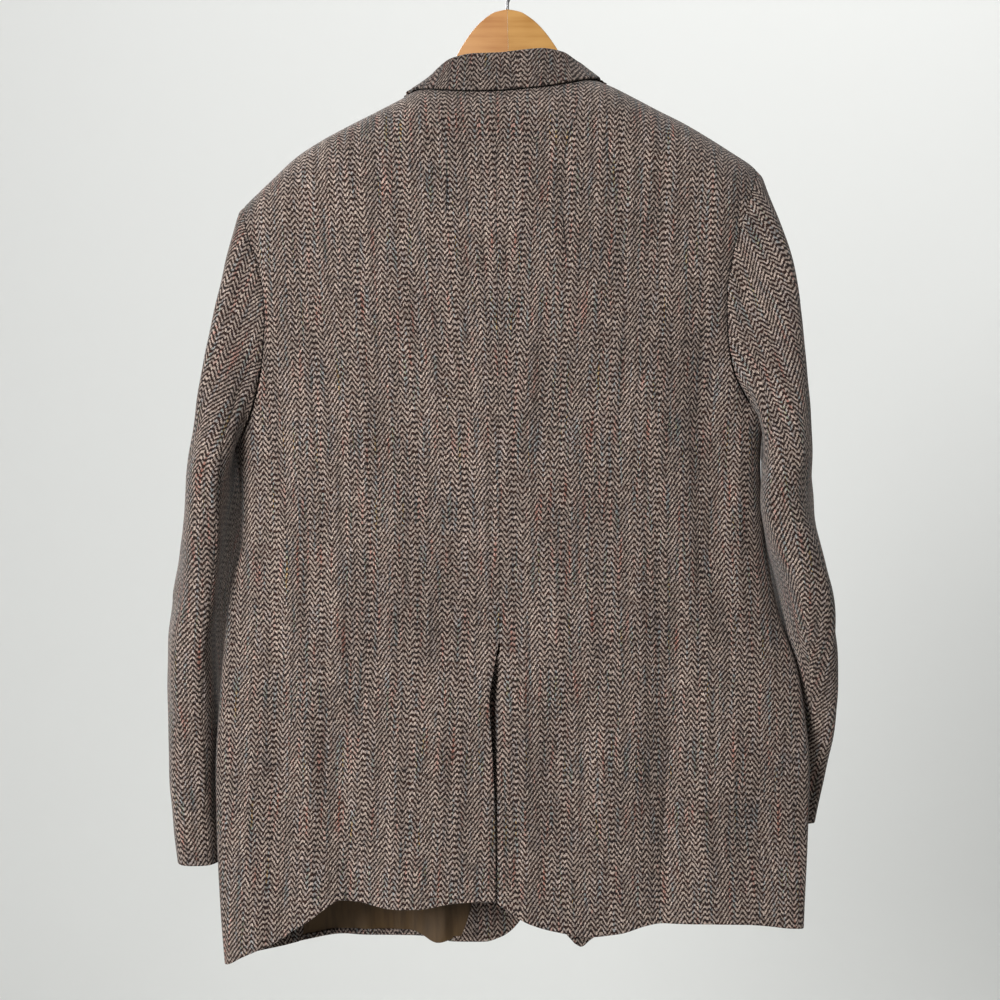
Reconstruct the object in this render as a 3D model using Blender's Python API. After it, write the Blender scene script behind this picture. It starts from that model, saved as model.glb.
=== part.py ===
"""A tweed hacking jacket hanging on a wooden hanger, as the tailor's pieces of cloth.

+Z is up, the back of the jacket faces -Y and the wearer's left is at -X.
The origin is the inside top of the hook, where a rail carries it.
All lengths here are in millimetres; MM turns them into metres when a mesh is made.
"""
import math
from collections import namedtuple

import bmesh
import bpy
import numpy as np

MM = 0.001
LEFT, RIGHT = -1, 1
SIDE_NAMES = {LEFT: "left", RIGHT: "right"}

# ---- cloth ------------------------------------------------------------------------------------
WALL = 2.5                # tweed and the lining that is pressed to it
SEAM = 0.3                # gap between two pieces at a seam
LINING_WALL = 1.0
BACK_SQUARENESS = 3.0     # how flat the back hangs between its rounded sides
FRONT_SQUARENESS = 2.3
SHOULDER_ROUND = 58.0     # radius of the cloth over the shoulder line
HANGER_LEAN = math.radians(1.2)
HANGER_PIVOT = (4.6, -75.0)

# ---- sections of the body, from the top down ----------------------------------------------------
# left, right: how far the side lies from the hook's plumb line; left_y, right_y: where the side lies
# in depth; back_y, front_y: the flat of the back and of the front; back_x, front_x: centre lines
Section = namedtuple("Section", "height left right left_y right_y back_y front_y back_x front_x")
BODY = [
    Section(-90, 275, 265, 0, 0, -58, 58, -8, 4),
    Section(-250, 275, 265, -2, -2, -62, 64, -6, 10),
    Section(-350, 272, 262, -5, -5, -64, 72, -5, 14),
    Section(-430, 266, 257, -8, -8, -64, 75, -4, 18),
    Section(-490, 258, 249, -10, -10, -62, 73, -4, 20),
    Section(-530, 254, 250, -11, -10, -61, 70, -3, 22),
    Section(-570, 254, 253, -12, -12, -60, 67, -3, 24),
    Section(-610, 263, 259, -13, -16, -59, 64, -3, 25),
    Section(-655, 268, 269, -14, -21, -58, 61, -3, 27),
    Section(-690, 271, 281, -15, -26, -57, 59, -3, 29),
    Section(-730, 274, 288, -16, -30, -56, 57, -4, 31),
    Section(-790, 277, 293, -18, -34, -56, 55, -5, 33),
    Section(-850, 276, 291, -19, -36, -56, 54, -6, 36),
    Section(-930, 272, 287, -20, -38, -56, 53, -7, 39),
    Section(-990, 267, 285, -21, -38, -56, 52, -7, 41),
]

# shoulder line, by its distance from the hook's plumb line
Shoulder = namedtuple("Shoulder", "distance left right")
SHOULDER_LINE = [
    Shoulder(0, -126.0, -126.0),
    Shoulder(40, -127.5, -122.0),
    Shoulder(75, -131.5, -121.5),
    Shoulder(100, -144.0, -129.0),
    Shoulder(125, -157.0, -141.0),
    Shoulder(150, -169.5, -154.0),
    Shoulder(175, -182.9, -166.4),
    Shoulder(200, -199.0, -180.9),
    Shoulder(225, -221.8, -196.5),
    Shoulder(240, -235.9, -206.0),
    Shoulder(252, -247.5, -217.0),
    Shoulder(275, -272.0, -240.0),
]
NECK_X = 5.0              # centre of the neck
NECK_HALF = 78.0          # from there to where the shoulder seam meets the neck
NECK_DIP = 8.5            # how far the back neck lies under the shoulder line

# armhole, from the shoulder tip down to the underarm; girth 0 is the centre, 1 the side of the body
Armhole = namedtuple("Armhole", "way height back front")
ARMHOLES = {
    LEFT: [
        Armhole(0.00, -247.1, 0.557, 0.663),
        Armhole(0.12, -280.0, 0.515, 0.641),
        Armhole(0.25, -315.0, 0.462, 0.581),
        Armhole(0.40, -355.0, 0.447, 0.531),
        Armhole(0.55, -394.0, 0.463, 0.531),
        Armhole(0.68, -425.0, 0.495, 0.562),
        Armhole(0.80, -454.0, 0.560, 0.628),
        Armhole(0.90, -478.0, 0.720, 0.740),
        Armhole(1.00, -492.0, 1.000, 1.000),
    ],
    RIGHT: [
        Armhole(0.00, -211.5, 0.590, 0.680),
        Armhole(0.12, -250.0, 0.515, 0.636),
        Armhole(0.25, -292.0, 0.455, 0.544),
        Armhole(0.40, -335.0, 0.430, 0.507),
        Armhole(0.55, -375.0, 0.435, 0.507),
        Armhole(0.68, -408.0, 0.460, 0.542),
        Armhole(0.80, -434.0, 0.530, 0.610),
        Armhole(0.90, -456.0, 0.700, 0.740),
        Armhole(1.00, -468.0, 1.000, 1.000),
    ],
}
SEAM_WAY = {"back": 0.72, "front": 0.76}      # where the side body's seams leave the armhole
SEAM_MEET = 60.0          # height over which they bend to meet it
HEM_LEVEL = -950.0        # about where the hem lies

# the side body's seams, by the distance from the plumb line at each height
SideSeam = namedtuple("SideSeam", "height back_left back_right front_left front_right")
SIDE_SEAMS = [
    SideSeam(-395, 232, 214, 228, 224),
    SideSeam(-420, 229, 203, 228, 223),
    SideSeam(-445, 226, 194, 226, 220),
    SideSeam(-480, 218, 188, 216, 210),
    SideSeam(-533, 209, 186, 203, 200),
    SideSeam(-590, 203, 186, 196, 200),
    SideSeam(-628, 199, 182, 192, 204),
    SideSeam(-685, 200, 169, 190, 210),
    SideSeam(-732, 201, 161, 192, 214),
    SideSeam(-807, 204, 155, 196, 220),
    SideSeam(-900, 209, 149, 200, 226),
    SideSeam(-990, 212, 147, 204, 230),
]

# hems, by the distance from the plumb line towards the panel's own side
Hem = namedtuple("Hem", "distance left right")
BACK_HEM = [
    Hem(-60, -913.0, -908.0),
    Hem(-10, -913.0, -912.0),
    Hem(0, -913.0, -919.0),
    Hem(25, -913.0, -934.0),
    Hem(50, -915.0, -941.5),
    Hem(80, -920.0, -946.0),
    Hem(110, -920.5, -943.0),
    Hem(135, -915.5, -936.0),
    Hem(155, -913.5, -934.3),
    Hem(170, -922.0, -934.3),
    Hem(185, -933.0, -934.3),
    Hem(200, -942.0, -934.3),
    Hem(215, -953.5, -934.5),
    Hem(230, -960.0, -935.0),
    Hem(250, -969.0, -937.0),
    Hem(270, -979.0, -940.0),
    Hem(292, -981.0, -942.0),
]
FRONT_HEM = [
    Hem(-9, -967.0, -975.0),
    Hem(0, -973.5, -975.0),
    Hem(19, -979.0, -975.0),
    Hem(50, -978.5, -975.0),
    Hem(70, -974.0, -978.5),
    Hem(79, -973.3, -983.0),
    Hem(88, -972.7, -976.5),
    Hem(100, -972.0, -970.0),
    Hem(118, -970.5, -966.0),
    Hem(138, -968.5, -961.0),
    Hem(160, -967.0, -957.0),
    Hem(195, -971.0, -952.0),
    Hem(228, -976.5, -948.0),
    Hem(270, -979.5, -943.0),
    Hem(292, -980.0, -942.0),
]

# front edge and lapel roll, as the distance from the centre front; less than 0 is past it
FrontEdge = namedtuple("FrontEdge", "height left right")
FRONT_EDGES = [
    FrontEdge(-118, 79, 79),
    FrontEdge(-160, 68, 68),
    FrontEdge(-203, 60, 60),
    FrontEdge(-300, 30, 30),
    FrontEdge(-398, 0, 0),
    FrontEdge(-455, -18, -18),
    FrontEdge(-700, -18, -18),
    FrontEdge(-780, -14, -14),
    FrontEdge(-840, -8, -8),
    FrontEdge(-890, 0, 0),
    FrontEdge(-930, 10, 9),
    FrontEdge(-957, 22, 16),
    FrontEdge(-967, 31, 21),
    FrontEdge(-979, 40, 31),
]
FRONT_CORNER = {LEFT: -967.0, RIGHT: -979.0}
SEAM_SHARE = 0.735        # share of a panel's height that lies below the armhole
# rows up the side body's seams, shared by the three panels, closer at the hem and at the vent's top
SEAM_ROWS = [0, 0.016, 0.05, 0.11, 0.17, 0.23, 0.285, 0.337, 0.363, 0.389, 0.414, 0.438, 0.465,
             0.52, 0.58, 0.64, 0.70, 0.76, 0.82, 0.88, 0.94, 1]
ARMHOLE_ROWS = [0.17, 0.34, 0.50, 0.65, 0.78, 0.87, 0.937, 0.98, 1]
UNDER_LAP = 7.2           # the right front lies this far inside the left one
LAP_FLAT, LAP_FADE = 20.0, 52.0

# ---- centre vent --------------------------------------------------------------------------------
VENT_TOP = -662.0
VENT_LAP = 46.0           # how far the right back runs on under the left one
VENT_DEPTH = 8.5          # and how deep under it
VENT_RAMP = 55.0          # height over which it gets there
VENT_ROLL = 30.0          # width of the right back's roll into the vent
LAP_START, LAP_RISE = 23.0, 40.0           # the lap starts below the top and reaches its width
BACK_LENGTH = -913.0      # height of the hem at the centre back
# edge of the left back's flap, as its distance past the centre seam towards the wearer's left
FlapEdge = namedtuple("FlapEdge", "height swing")
VENT_EDGE = [
    FlapEdge(-640, 0.0),
    FlapEdge(-662, 0.0),
    FlapEdge(-678, 3.0),
    FlapEdge(-702, 7.0),
    FlapEdge(-719, 9.0),
    FlapEdge(-771, 5.5),
    FlapEdge(-832, 2.0),
    FlapEdge(-892, 0.5),
    FlapEdge(-990, 0.8),
]

# ---- the largest folds: soft troughs (depth > 0) and ridges (depth < 0) -------------------------
# face: +1 back, -1 front; top, bottom: heights; top_x, bottom_x: where it starts and ends
FOLD_FADE = 0.35          # share of a fold's length over which it rises and dies away
HEM_ZONE = -900.0         # a fold that ends below this runs out through the hem
Fold = namedtuple("Fold", "face top bottom top_x bottom_x depth width")
FOLDS = [
    Fold(1, -600, -990, -216, -214, 5.0, 13),
    Fold(1, -600, -990, -176, -160, 4.0, 15),
    Fold(1, -640, -960, -120, -110, -2.5, 22),
    Fold(1, -380, -650, 183, 190, 5.0, 11),
    Fold(1, -430, -640, 222, 190, 3.0, 12),
    Fold(1, -730, -990, 158, 146, 6.0, 14),
    Fold(1, -760, -990, 212, 216, -3.0, 22),
    Fold(1, -420, -560, -228, -206, 3.5, 12),
    Fold(1, -200, -420, -190, -200, 2.5, 16),
    Fold(1, -180, -400, 176, 186, 2.5, 16),
    Fold(-1, -640, -990, -150, -138, 4.5, 18),
    Fold(-1, -700, -990, -78, -90, -3.0, 20),
    Fold(-1, -640, -990, 150, 162, 4.5, 17),
    Fold(-1, -720, -990, 205, 215, -3.5, 20),
    Fold(-1, -430, -600, -222, -176, 4.0, 13),
    Fold(-1, -420, -590, 214, 170, 3.5, 13),
]

# ---- sleeves: rings from below the armhole down to the cuff -------------------------------------
# thick and wide are half sizes across and along the flattened sleeve; back_lean swings its back
# edge outwards and front_lean its front edge inwards, in degrees
Ring = namedtuple("Ring", "height x y thick wide back_lean front_lean")
SLEEVES = {
    LEFT: [
        Ring(-512, -284.5, 2, 19, 80, -5, 10),
        Ring(-550, -291.5, 6, 18, 80, -9, 14),
        Ring(-590, -298.5, 12, 18, 79, -12, 14),
        Ring(-630, -306, 18, 18.5, 78, -14, 15),
        Ring(-670, -308.5, 24, 20.5, 77, -10, 14),
        Ring(-730, -306.5, 31, 22, 75, -6, 9),
        Ring(-790, -303, 37, 22.5, 73, -3, 5),
        Ring(-845, -299, 41, 21.5, 71, 0, 2),
        Ring(-885, -296, 43, 20.5, 70, 0, 2),
    ],
    RIGHT: [
        Ring(-502, 275.5, -8, 22, 76, -9, -9),
        Ring(-535, 276.5, -9, 22.5, 76, -12, -12),
        Ring(-575, 281.5, -5, 23, 76, -7, -7),
        Ring(-615, 287.5, 4, 22, 76, 1, 1),
        Ring(-655, 292.5, 18, 21.5, 76, 5, 5),
        Ring(-695, 295, 34, 20, 74, 8, 8),
        Ring(-740, 294, 48, 18, 72, 12, 12),
        Ring(-790, 287, 60, 17.5, 70, 15, 15),
        Ring(-850, 273, 70, 17.5, 68, 18, 18),
    ],
}
SLEEVE_SQUARENESS = 2.4
SLEEVE_CAP = 0.42         # share of a sleeve's length that lies above its first ring
CAP_LIFT, UNDERARM_LIFT = -14.0, 78.0      # angle at which the sleeve leaves the body's cloth
CAP_PULL = {LEFT: 0.30, RIGHT: 0.50}       # how strongly the cap leaves the armhole
CAP_REACH = {LEFT: 0.36, RIGHT: 0.75}      # and how strongly it runs on into the arm
UNDERARM_PULL = 0.7
SLEEVE_SEAM = 0.6
CAP_SEAT, UNDERARM_SEAT = 0.6, 1.8         # gap between the sleeve and the armhole
# columns round a sleeve in degrees: closer over the shoulder's tip and under the arm
TOP_TURNS = (-114, -97, -80, -64, -49, -36, -24, -12, 0, 12, 24, 36, 49, 64, 80, 96, 112)
UNDER_TURNS = (112, 126, 140, 153, 166, 179, 192, 205, 218, 232, 246)

# ---- collar: sections from the centre back round to its front end --------------------------------
# turn_back, rise: from the neck seam to the fold, back over the panel and straight off it;
# edge_x, edge_height: where the leaf's edge lies on the panels; edge_lift: how far off them
Collar = namedtuple("Collar", "way turn_back rise edge_x edge_height edge_lift")
COLLAR = [
    Collar(0.00, -11.0, 27.0, 0, -147.0, 4.5),
    Collar(0.12, -11.0, 27.0, 30, -145.9, 4.4),
    Collar(0.23, -9.0, 23.0, 57, -142.4, 4.2),
    Collar(0.31, -7.0, 15.0, 76, -138.0, 4.0),
    Collar(0.38, -7.0, 9.0, 88, -135.0, 3.8),
    Collar(0.46, -7.5, 5.5, 95, -128.0, 3.5),
    Collar(0.56, -8.0, 4.5, 99, -141.0, 3.6),
    Collar(0.68, -8.0, 4.2, 102, -155.0, 3.7),
    Collar(0.84, -7.5, 4.0, 103, -185.0, 3.7),
    Collar(1.00, -7.0, 4.0, 102, -214.0, 3.7),
]
COLLAR_WALL = 2.4
COLLAR_FOLD = 3.4         # outer radius of the fold
COLLAR_X = 2.5
COLLAR_SEAT = 1.1         # gap to the panels along the neck
COLLAR_NECK = 0.46        # where the neck seam passes from the back to the front
COLLAR_END = -204.0
COLLAR_TILT = math.tan(math.radians(3.3))
COLLAR_BEND = (0.40, 0.60)  # rows between which the collar turns over its fold

# ---- lapels, facing, turn-up, lining, flaps and buttons ------------------------------------------
# a lapel's outer edge, as its distance from the centre front
LapelEdge = namedtuple("LapelEdge", "way height distance")
LAPEL_EDGE = [
    LapelEdge(0.00, -446, -8),
    LapelEdge(0.25, -402, 32),
    LapelEdge(0.50, -350, 75),
    LapelEdge(0.75, -296, 112),
    LapelEdge(1.00, -243, 136),
]
LAPEL_ROLL = {LEFT: (-449.0, -212.0), RIGHT: (-418.0, -212.0)}
LAPEL_FOOT = {LEFT: 0.0, RIGHT: 0.14}      # where on its edge a lapel starts
LAPEL_LIFT = 0.8
TURN_UP = 0.0075          # height of the turned-up hem, as a share of the front's height
# shares of the front by which the pieces inside it stay within its edge, its hem, its seam and the turn-up
INSIDE_EDGE, INSIDE_HEM, INSIDE_SEAM, ABOVE_TURN_UP = 0.004, 0.0015, 0.985, 0.0008
INNER_ROWS = 12           # rows of the front that its facing and lining reach up
FACING_SHARE = 0.262      # width of the facing, as a share of the front's
INNER_GAP = 0.4
FLAP_LIFT = 0.9
# a pocket flap's corners: distance from the centre front and height
FLAP_CORNERS = {"top_in": (84, -633), "top_out": (206, -668), "low_out": (211, -722), "low_in": (80, -688)}
BUTTON_HEIGHTS = (-466.0, -571.0, -676.0)
BUTTON_SEAT = 0.5
ButtonRing = namedtuple("ButtonRing", "radius out")
BUTTON_PROFILE = [
    ButtonRing(0.0, 1.6),
    ButtonRing(6.2, 1.6),
    ButtonRing(7.8, 3.6),
    ButtonRing(9.4, 3.3),
    ButtonRing(10.0, 1.8),
    ButtonRing(9.0, 0.0),
    ButtonRing(0.0, 0.0),
]

# ---- hanger --------------------------------------------------------------------------------------
# half of the wooden hanger, by the distance from its middle
Wood = namedtuple("Wood", "distance upper lower half_thick")
HANGER = [
    Wood(0.2, -55.0, -146.0, 6.6),
    Wood(12, -57.5, -146.0, 6.6),
    Wood(24, -65.0, -146.5, 6.6),
    Wood(34, -75.0, -147.5, 6.6),
    Wood(45.5, -91.0, -149.5, 6.5),
    Wood(54, -106.5, -151.5, 6.5),
    Wood(62, -121.0, -154.5, 6.4),
    Wood(70, -132.0, -157.5, 6.3),
    Wood(86, -138.0, -163.5, 6.2),
    Wood(105, -146.0, -171.5, 6.1),
    Wood(130, -158.4, -183.0, 6.0),
    Wood(155, -170.0, -194.5, 5.9),
    Wood(180, -182.4, -206.5, 5.8),
    Wood(205, -197.8, -220.0, 5.6),
    Wood(218, -208.9, -226.5, 5.2),
    Wood(223, -214.5, -224.5, 3.6),
]
WOOD_ROUND = 2.6
HOOK_WIRE = 1.6
HOOK_RADIUS = 19.0        # inside of the hook's bend
HOOK_STEM = 6.0           # straight part of the stem above the wood
HOOK_BEND = (-52.0, 196.0)                 # from the stem's join round to the tip, in degrees
HOOK_PULL = 12.0          # how softly the stem runs into the bend

MATERIALS = {
    "tweed": ((0.16, 0.12, 0.10), 0.9, 0.0),
    "lining": ((0.045, 0.028, 0.015), 0.5, 0.0),
    "wood_left": ((0.62, 0.33, 0.13), 0.4, 0.0),
    "wood_right": ((0.64, 0.36, 0.13), 0.4, 0.0),
    "steel": ((0.6, 0.6, 0.6), 0.3, 1.0),
    "horn": ((0.05, 0.03, 0.02), 0.35, 0.0),
}


# ---- reading the tables --------------------------------------------------------------------------
def steps(table, column):
    """One column of a table with its places, in rising order of place, and a gentle slope at each row."""
    place = np.array([row[0] for row in table], float)
    value = np.array([getattr(row, column) for row in table], float)
    if place[0] > place[-1]:
        place, value = place[::-1], value[::-1]
    run = np.diff(place)
    rise = np.diff(value) / run
    slope = np.empty_like(value)
    slope[0], slope[-1] = rise[0], rise[-1]
    before, after = rise[:-1], rise[1:]
    same_way = before * after > 0
    total = np.where(same_way, before + after, 1.0)
    slope[1:-1] = np.where(same_way, 2 * before * after / total, 0.0)
    return place, value, slope


READ = {}


def smooth(table, column, at):
    """A table's column read on a smooth curve through its rows; the first column is the place."""
    key = (id(table), column)
    if key not in READ:
        READ[key] = steps(table, column)
    place, value, slope = READ[key]
    at = min(max(at, place[0]), place[-1])
    row = min(int(np.searchsorted(place, at, side="right")) - 1, len(place) - 2)
    run = place[row + 1] - place[row]
    t = (at - place[row]) / run
    start = (1 + 2 * t) * (1 - t) ** 2 * value[row] + t * (1 - t) ** 2 * run * slope[row]
    end = t * t * (3 - 2 * t) * value[row + 1] - t * t * (1 - t) * run * slope[row + 1]
    return start + end


def ease(share):
    """0 to 1 with a soft start and end."""
    share = min(max(share, 0.0), 1.0)
    return share * share * (3 - 2 * share)


def mix(first, second, share):
    return first + (second - first) * share


def unit(vector):
    return vector / max(float(np.linalg.norm(vector)), 1e-12)


# ---- the body's form -----------------------------------------------------------------------------
def shoulder_height(x):
    return smooth(SHOULDER_LINE, "left" if x < 0 else "right", abs(x))


def frame_at(side, height, back):
    """Centre line, its distance to the side, and the exponent of the section there."""
    centre = smooth(BODY, "back_x" if back else "front_x", height)
    span = side * smooth(BODY, SIDE_NAMES[side], height) - centre
    return centre, span, BACK_SQUARENESS if back else FRONT_SQUARENESS


def girth_at(side, x, height, back):
    """Girth of a place given by its x: 0 centre back, 1 side, 2 centre front."""
    centre, span, square = frame_at(side, height, back)
    share = (x - centre) / span
    girth = math.copysign(1 - max(1 - abs(share), 0.0) ** (1 / square), share)
    return girth if back else 2 - girth


def fold_depth(x, height, back):
    depth = 0.0
    for fold in FOLDS:
        if (fold.face > 0) != back or not fold.bottom < height < fold.top:
            continue
        way = (fold.top - height) / (fold.top - fold.bottom)
        strength = ease(way / FOLD_FADE)
        if fold.bottom > HEM_ZONE:
            strength *= ease((1 - way) / FOLD_FADE)
        aside = (x - mix(fold.top_x, fold.bottom_x, way)) / fold.width
        depth += fold.depth * strength * math.exp(-aside * aside)
    return depth


def full_point(side, girth, height):
    """A point on the body's cloth as if it ran on straight up past the shoulder."""
    back = girth < 1
    centre, span, square = frame_at(side, height, back)
    from_centre = girth if back else 2 - girth
    share = math.copysign(1 - (1 - abs(from_centre)) ** square, from_centre)
    x = centre + span * share
    side_y = smooth(BODY, SIDE_NAMES[side] + "_y", height)
    flat_y = smooth(BODY, "back_y" if back else "front_y", height)
    y = side_y + (flat_y - side_y) * max(1 - abs(share) ** square, 0.0) ** (1 / square)
    inward = fold_depth(x, height, back) * (1 - abs(share) ** 8)
    y += inward if back else -inward
    return np.array([x, y, height])


def rounding(x, height):
    """How far a place has turned from the shoulder line (0) to the upright cloth (1), as a sine."""
    drop = min(max((shoulder_height(x) - height) / SHOULDER_ROUND, 0.0), 1.0)
    return math.sqrt(1 - (1 - drop) ** 2)


def body_point(side, girth, height):
    """A point on the outside of the body's cloth."""
    point = full_point(side, girth, height)
    point[1] *= rounding(point[0], height)
    return point


def body_normal(side, girth, height):
    """Outward direction of the body's cloth; the same for all panels that meet at a place."""
    step = 1e-3
    across = full_point(side, girth + step, height) - full_point(side, girth - step, height)
    upward = full_point(side, girth, height + 0.5) - full_point(side, girth, height - 0.5)
    face = side * unit(np.cross(across, upward))
    x = full_point(side, girth, height)[0]
    slope = (shoulder_height(x + 1.0) - shoulder_height(x - 1.0)) / 2
    turned = rounding(x, height)
    return unit(face * turned + unit(np.array([-slope, 0.0, 1.0])) * math.sqrt(1 - turned * turned))


def patch(inner, outer, bottom, top):
    """Girth and height over a panel, from its four edges: each edge is a function of a share."""
    low_in, low_out, top_in, top_out = inner(0.0), outer(0.0), inner(1.0), outer(1.0)

    def place(u, v):
        across = (1 - u) * inner(v) + u * outer(v)
        along = (1 - v) * bottom(u) + v * top(u)
        corners = (1 - u) * ((1 - v) * low_in + v * top_in) + u * ((1 - v) * low_out + v * top_out)
        return across + along - corners

    return place


def seam_foot(side, back):
    """x where a side body's seam meets the hem."""
    name = SIDE_NAMES[side]
    hem, column = (BACK_HEM, "back_" + name) if back else (FRONT_HEM, "front_" + name)
    distance = smooth(SIDE_SEAMS, column, HEM_LEVEL)
    for _ in range(6):
        distance = smooth(SIDE_SEAMS, column, smooth(hem, name, distance))
    return side * distance


def hem_place(table, side, x, back):
    height = smooth(table, SIDE_NAMES[side], side * x)
    return np.array([girth_at(side, x, height, back), height])


def armhole_place(side, way, back):
    """Girth and height on the armhole; way is 0 at the shoulder tip and 1 at the underarm."""
    table = ARMHOLES[side]
    girth = smooth(table, "back" if back else "front", way)
    return np.array([girth if back else 2 - girth, smooth(table, "height", way)])


def way_at(side, height):
    """How far down the armhole a height lies."""
    low, high = 0.0, 1.0
    for _ in range(30):
        middle = (low + high) / 2
        if smooth(ARMHOLES[side], "height", middle) > height:
            low = middle
        else:
            high = middle
    return (low + high) / 2


def outer_edge(side, hem_x, hem_table, back):
    """A panel's outer edge from its hem up the side body's seam, then up the armhole to the tip."""
    junction = armhole_place(side, SEAM_WAY["back" if back else "front"], back)
    start = hem_place(hem_table, side, hem_x, back)
    tip = armhole_place(side, 0.0, back)

    def edge(v):
        if v > SEAM_SHARE:
            height = mix(junction[1], tip[1], (v - SEAM_SHARE) / (1 - SEAM_SHARE))
            return armhole_place(side, way_at(side, height), back)
        return side_seam(side, mix(start[1], junction[1], v / SEAM_SHARE), back)

    return edge


def side_seam(side, height, back):
    face = "back" if back else "front"
    junction = armhole_place(side, SEAM_WAY[face], back)
    x = side * smooth(SIDE_SEAMS, face + "_" + SIDE_NAMES[side], height)
    girth = girth_at(side, x, height, back)
    meet = ease((height - junction[1] + SEAM_MEET) / SEAM_MEET)
    return np.array([mix(girth, junction[0], meet), height])


def neckline(side, x):
    """Girth and height on the back's neckline."""
    dip = NECK_DIP * (1 - (abs(x - NECK_X) / NECK_HALF) ** 4)
    height = shoulder_height(x) - dip
    return np.array([girth_at(side, x, height, True), height])


def shoulder_edge(side, start_x, back):
    """A panel's upper edge along the shoulder seam, from the neck to the tip."""
    tip = armhole_place(side, 0.0, back)
    tip_x = body_point(side, tip[0], tip[1])[0]
    below = tip[1] - shoulder_height(tip_x)

    def edge(share):
        x = mix(start_x, tip_x, share)
        height = shoulder_height(x) + below * share
        return np.array([girth_at(side, x, height, back), height])

    return edge


# ---- meshes --------------------------------------------------------------------------------------
def material(name):
    made = bpy.data.materials.get(name)
    if made:
        return made
    colour, roughness, metallic = MATERIALS[name]
    made = bpy.data.materials.new(name)
    made.use_nodes = True
    shader = made.node_tree.nodes["Principled BSDF"]
    shader.inputs["Base Color"].default_value = (*colour, 1.0)
    shader.inputs["Roughness"].default_value = roughness
    shader.inputs["Metallic"].default_value = metallic
    return made


def add_object(name, mesh, slot):
    mesh.materials.append(material(slot))
    made = bpy.data.objects.new(name, mesh)
    bpy.context.scene.collection.objects.link(made)
    mesh.shade_smooth()
    mesh.set_sharp_from_angle(angle=math.radians(40))
    return made


def close_mesh(name, points, faces, slot):
    """A closed mesh from points in millimetres, with its faces turned outward."""
    mesh = bpy.data.meshes.new(name)
    build = bmesh.new()
    verts = [build.verts.new(point * MM) for point in points]
    for face in faces:
        build.faces.new([verts[i] for i in face])
    bmesh.ops.recalc_face_normals(build, faces=build.faces)
    build.to_mesh(mesh)
    build.free()
    return add_object(name, mesh, slot)


def skin_normal(surface, u, v, facing):
    """Outward direction of a surface, from points a little way off on each side."""
    step = 4e-3
    u0, u1 = max(u - step, 0.0), min(u + step, 1.0)
    v0, v1 = max(v - step, 0.0), min(v + step, 1.0)
    along_u = surface(u1, v) - surface(u0, v)
    along_v = surface(u, v1) - surface(u, v0)
    return facing * unit(np.cross(along_u, along_v))


def shell(name, surface, us, vs, facing, slot="tweed", outside=0.0, inside=-WALL, trim=SEAM / 2,
          outward=None):
    """A wall of cloth between two skins, `outside` and `inside` millimetres out from a surface."""
    rows, columns = len(vs), len(us)
    middle = np.array([[surface(u, v) for u in us] for v in vs])
    if outward is None:
        normal = np.array([[skin_normal(surface, u, v, facing) for u in us] for v in vs])
    else:
        normal = np.array([[outward(u, v) for u in us] for v in vs])
    shift = np.zeros_like(middle)
    for near, far in ((0, 1), (-1, -2)):
        shift[near] += trim * np.array([unit(p) for p in middle[far] - middle[near]])
        shift[:, near] += trim * np.array([unit(p) for p in middle[:, far] - middle[:, near]])
    skins = [(middle + shift + normal * offset).reshape(-1, 3) for offset in (outside, inside)]
    count = rows * columns
    faces = []
    for r in range(rows - 1):
        for c in range(columns - 1):
            a = r * columns + c
            b = a + columns
            for triangle in ((a, a + 1, b + 1), (a, b + 1, b)):
                faces.append(triangle)
                faces.append(tuple(i + count for i in reversed(triangle)))
    border = list(range(columns))
    border += [r * columns + columns - 1 for r in range(1, rows)]
    border += [(rows - 1) * columns + c for c in range(columns - 2, -1, -1)]
    border += [r * columns for r in range(rows - 2, 0, -1)]
    for a, b in zip(border, border[1:] + border[:1]):
        faces.append((b, a, a + count, b + count))
    return close_mesh(name, np.vstack(skins), faces, slot)


def even(count):
    return [i / count for i in range(count + 1)]


def body_rows():
    """Rows up a body panel: those of its seam, then up the armhole and round the shoulder."""
    low = [SEAM_SHARE * row for row in SEAM_ROWS]
    return low + [mix(SEAM_SHARE, 1.0, row) for row in ARMHOLE_ROWS]


def body_shell(name, side, place, us, vs, inset=None, **options):
    """A panel on the body's form; `place` gives its girth and height."""
    def surface(u, v):
        point = body_point(side, *place(u, v))
        if inset:
            point = point + np.array([0.0, inset(point), 0.0])
        return point

    def outward(u, v):
        return body_normal(side, *place(u, v))

    return shell(name, surface, us, vs, side, outward=outward, **options)


# ---- backs ---------------------------------------------------------------------------------------
BACK_COLUMNS, NECK_COLUMNS = 14, 5


def vent_inset(point):
    """The right back turns in under the left one below the vent's top."""
    x, height = point[0], point[2]
    centre = smooth(BODY, "back_x", height)
    fade = 1 - ease((x - centre) / VENT_ROLL)
    return VENT_DEPTH * ease((VENT_TOP - height) / VENT_RAMP) * fade


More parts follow.
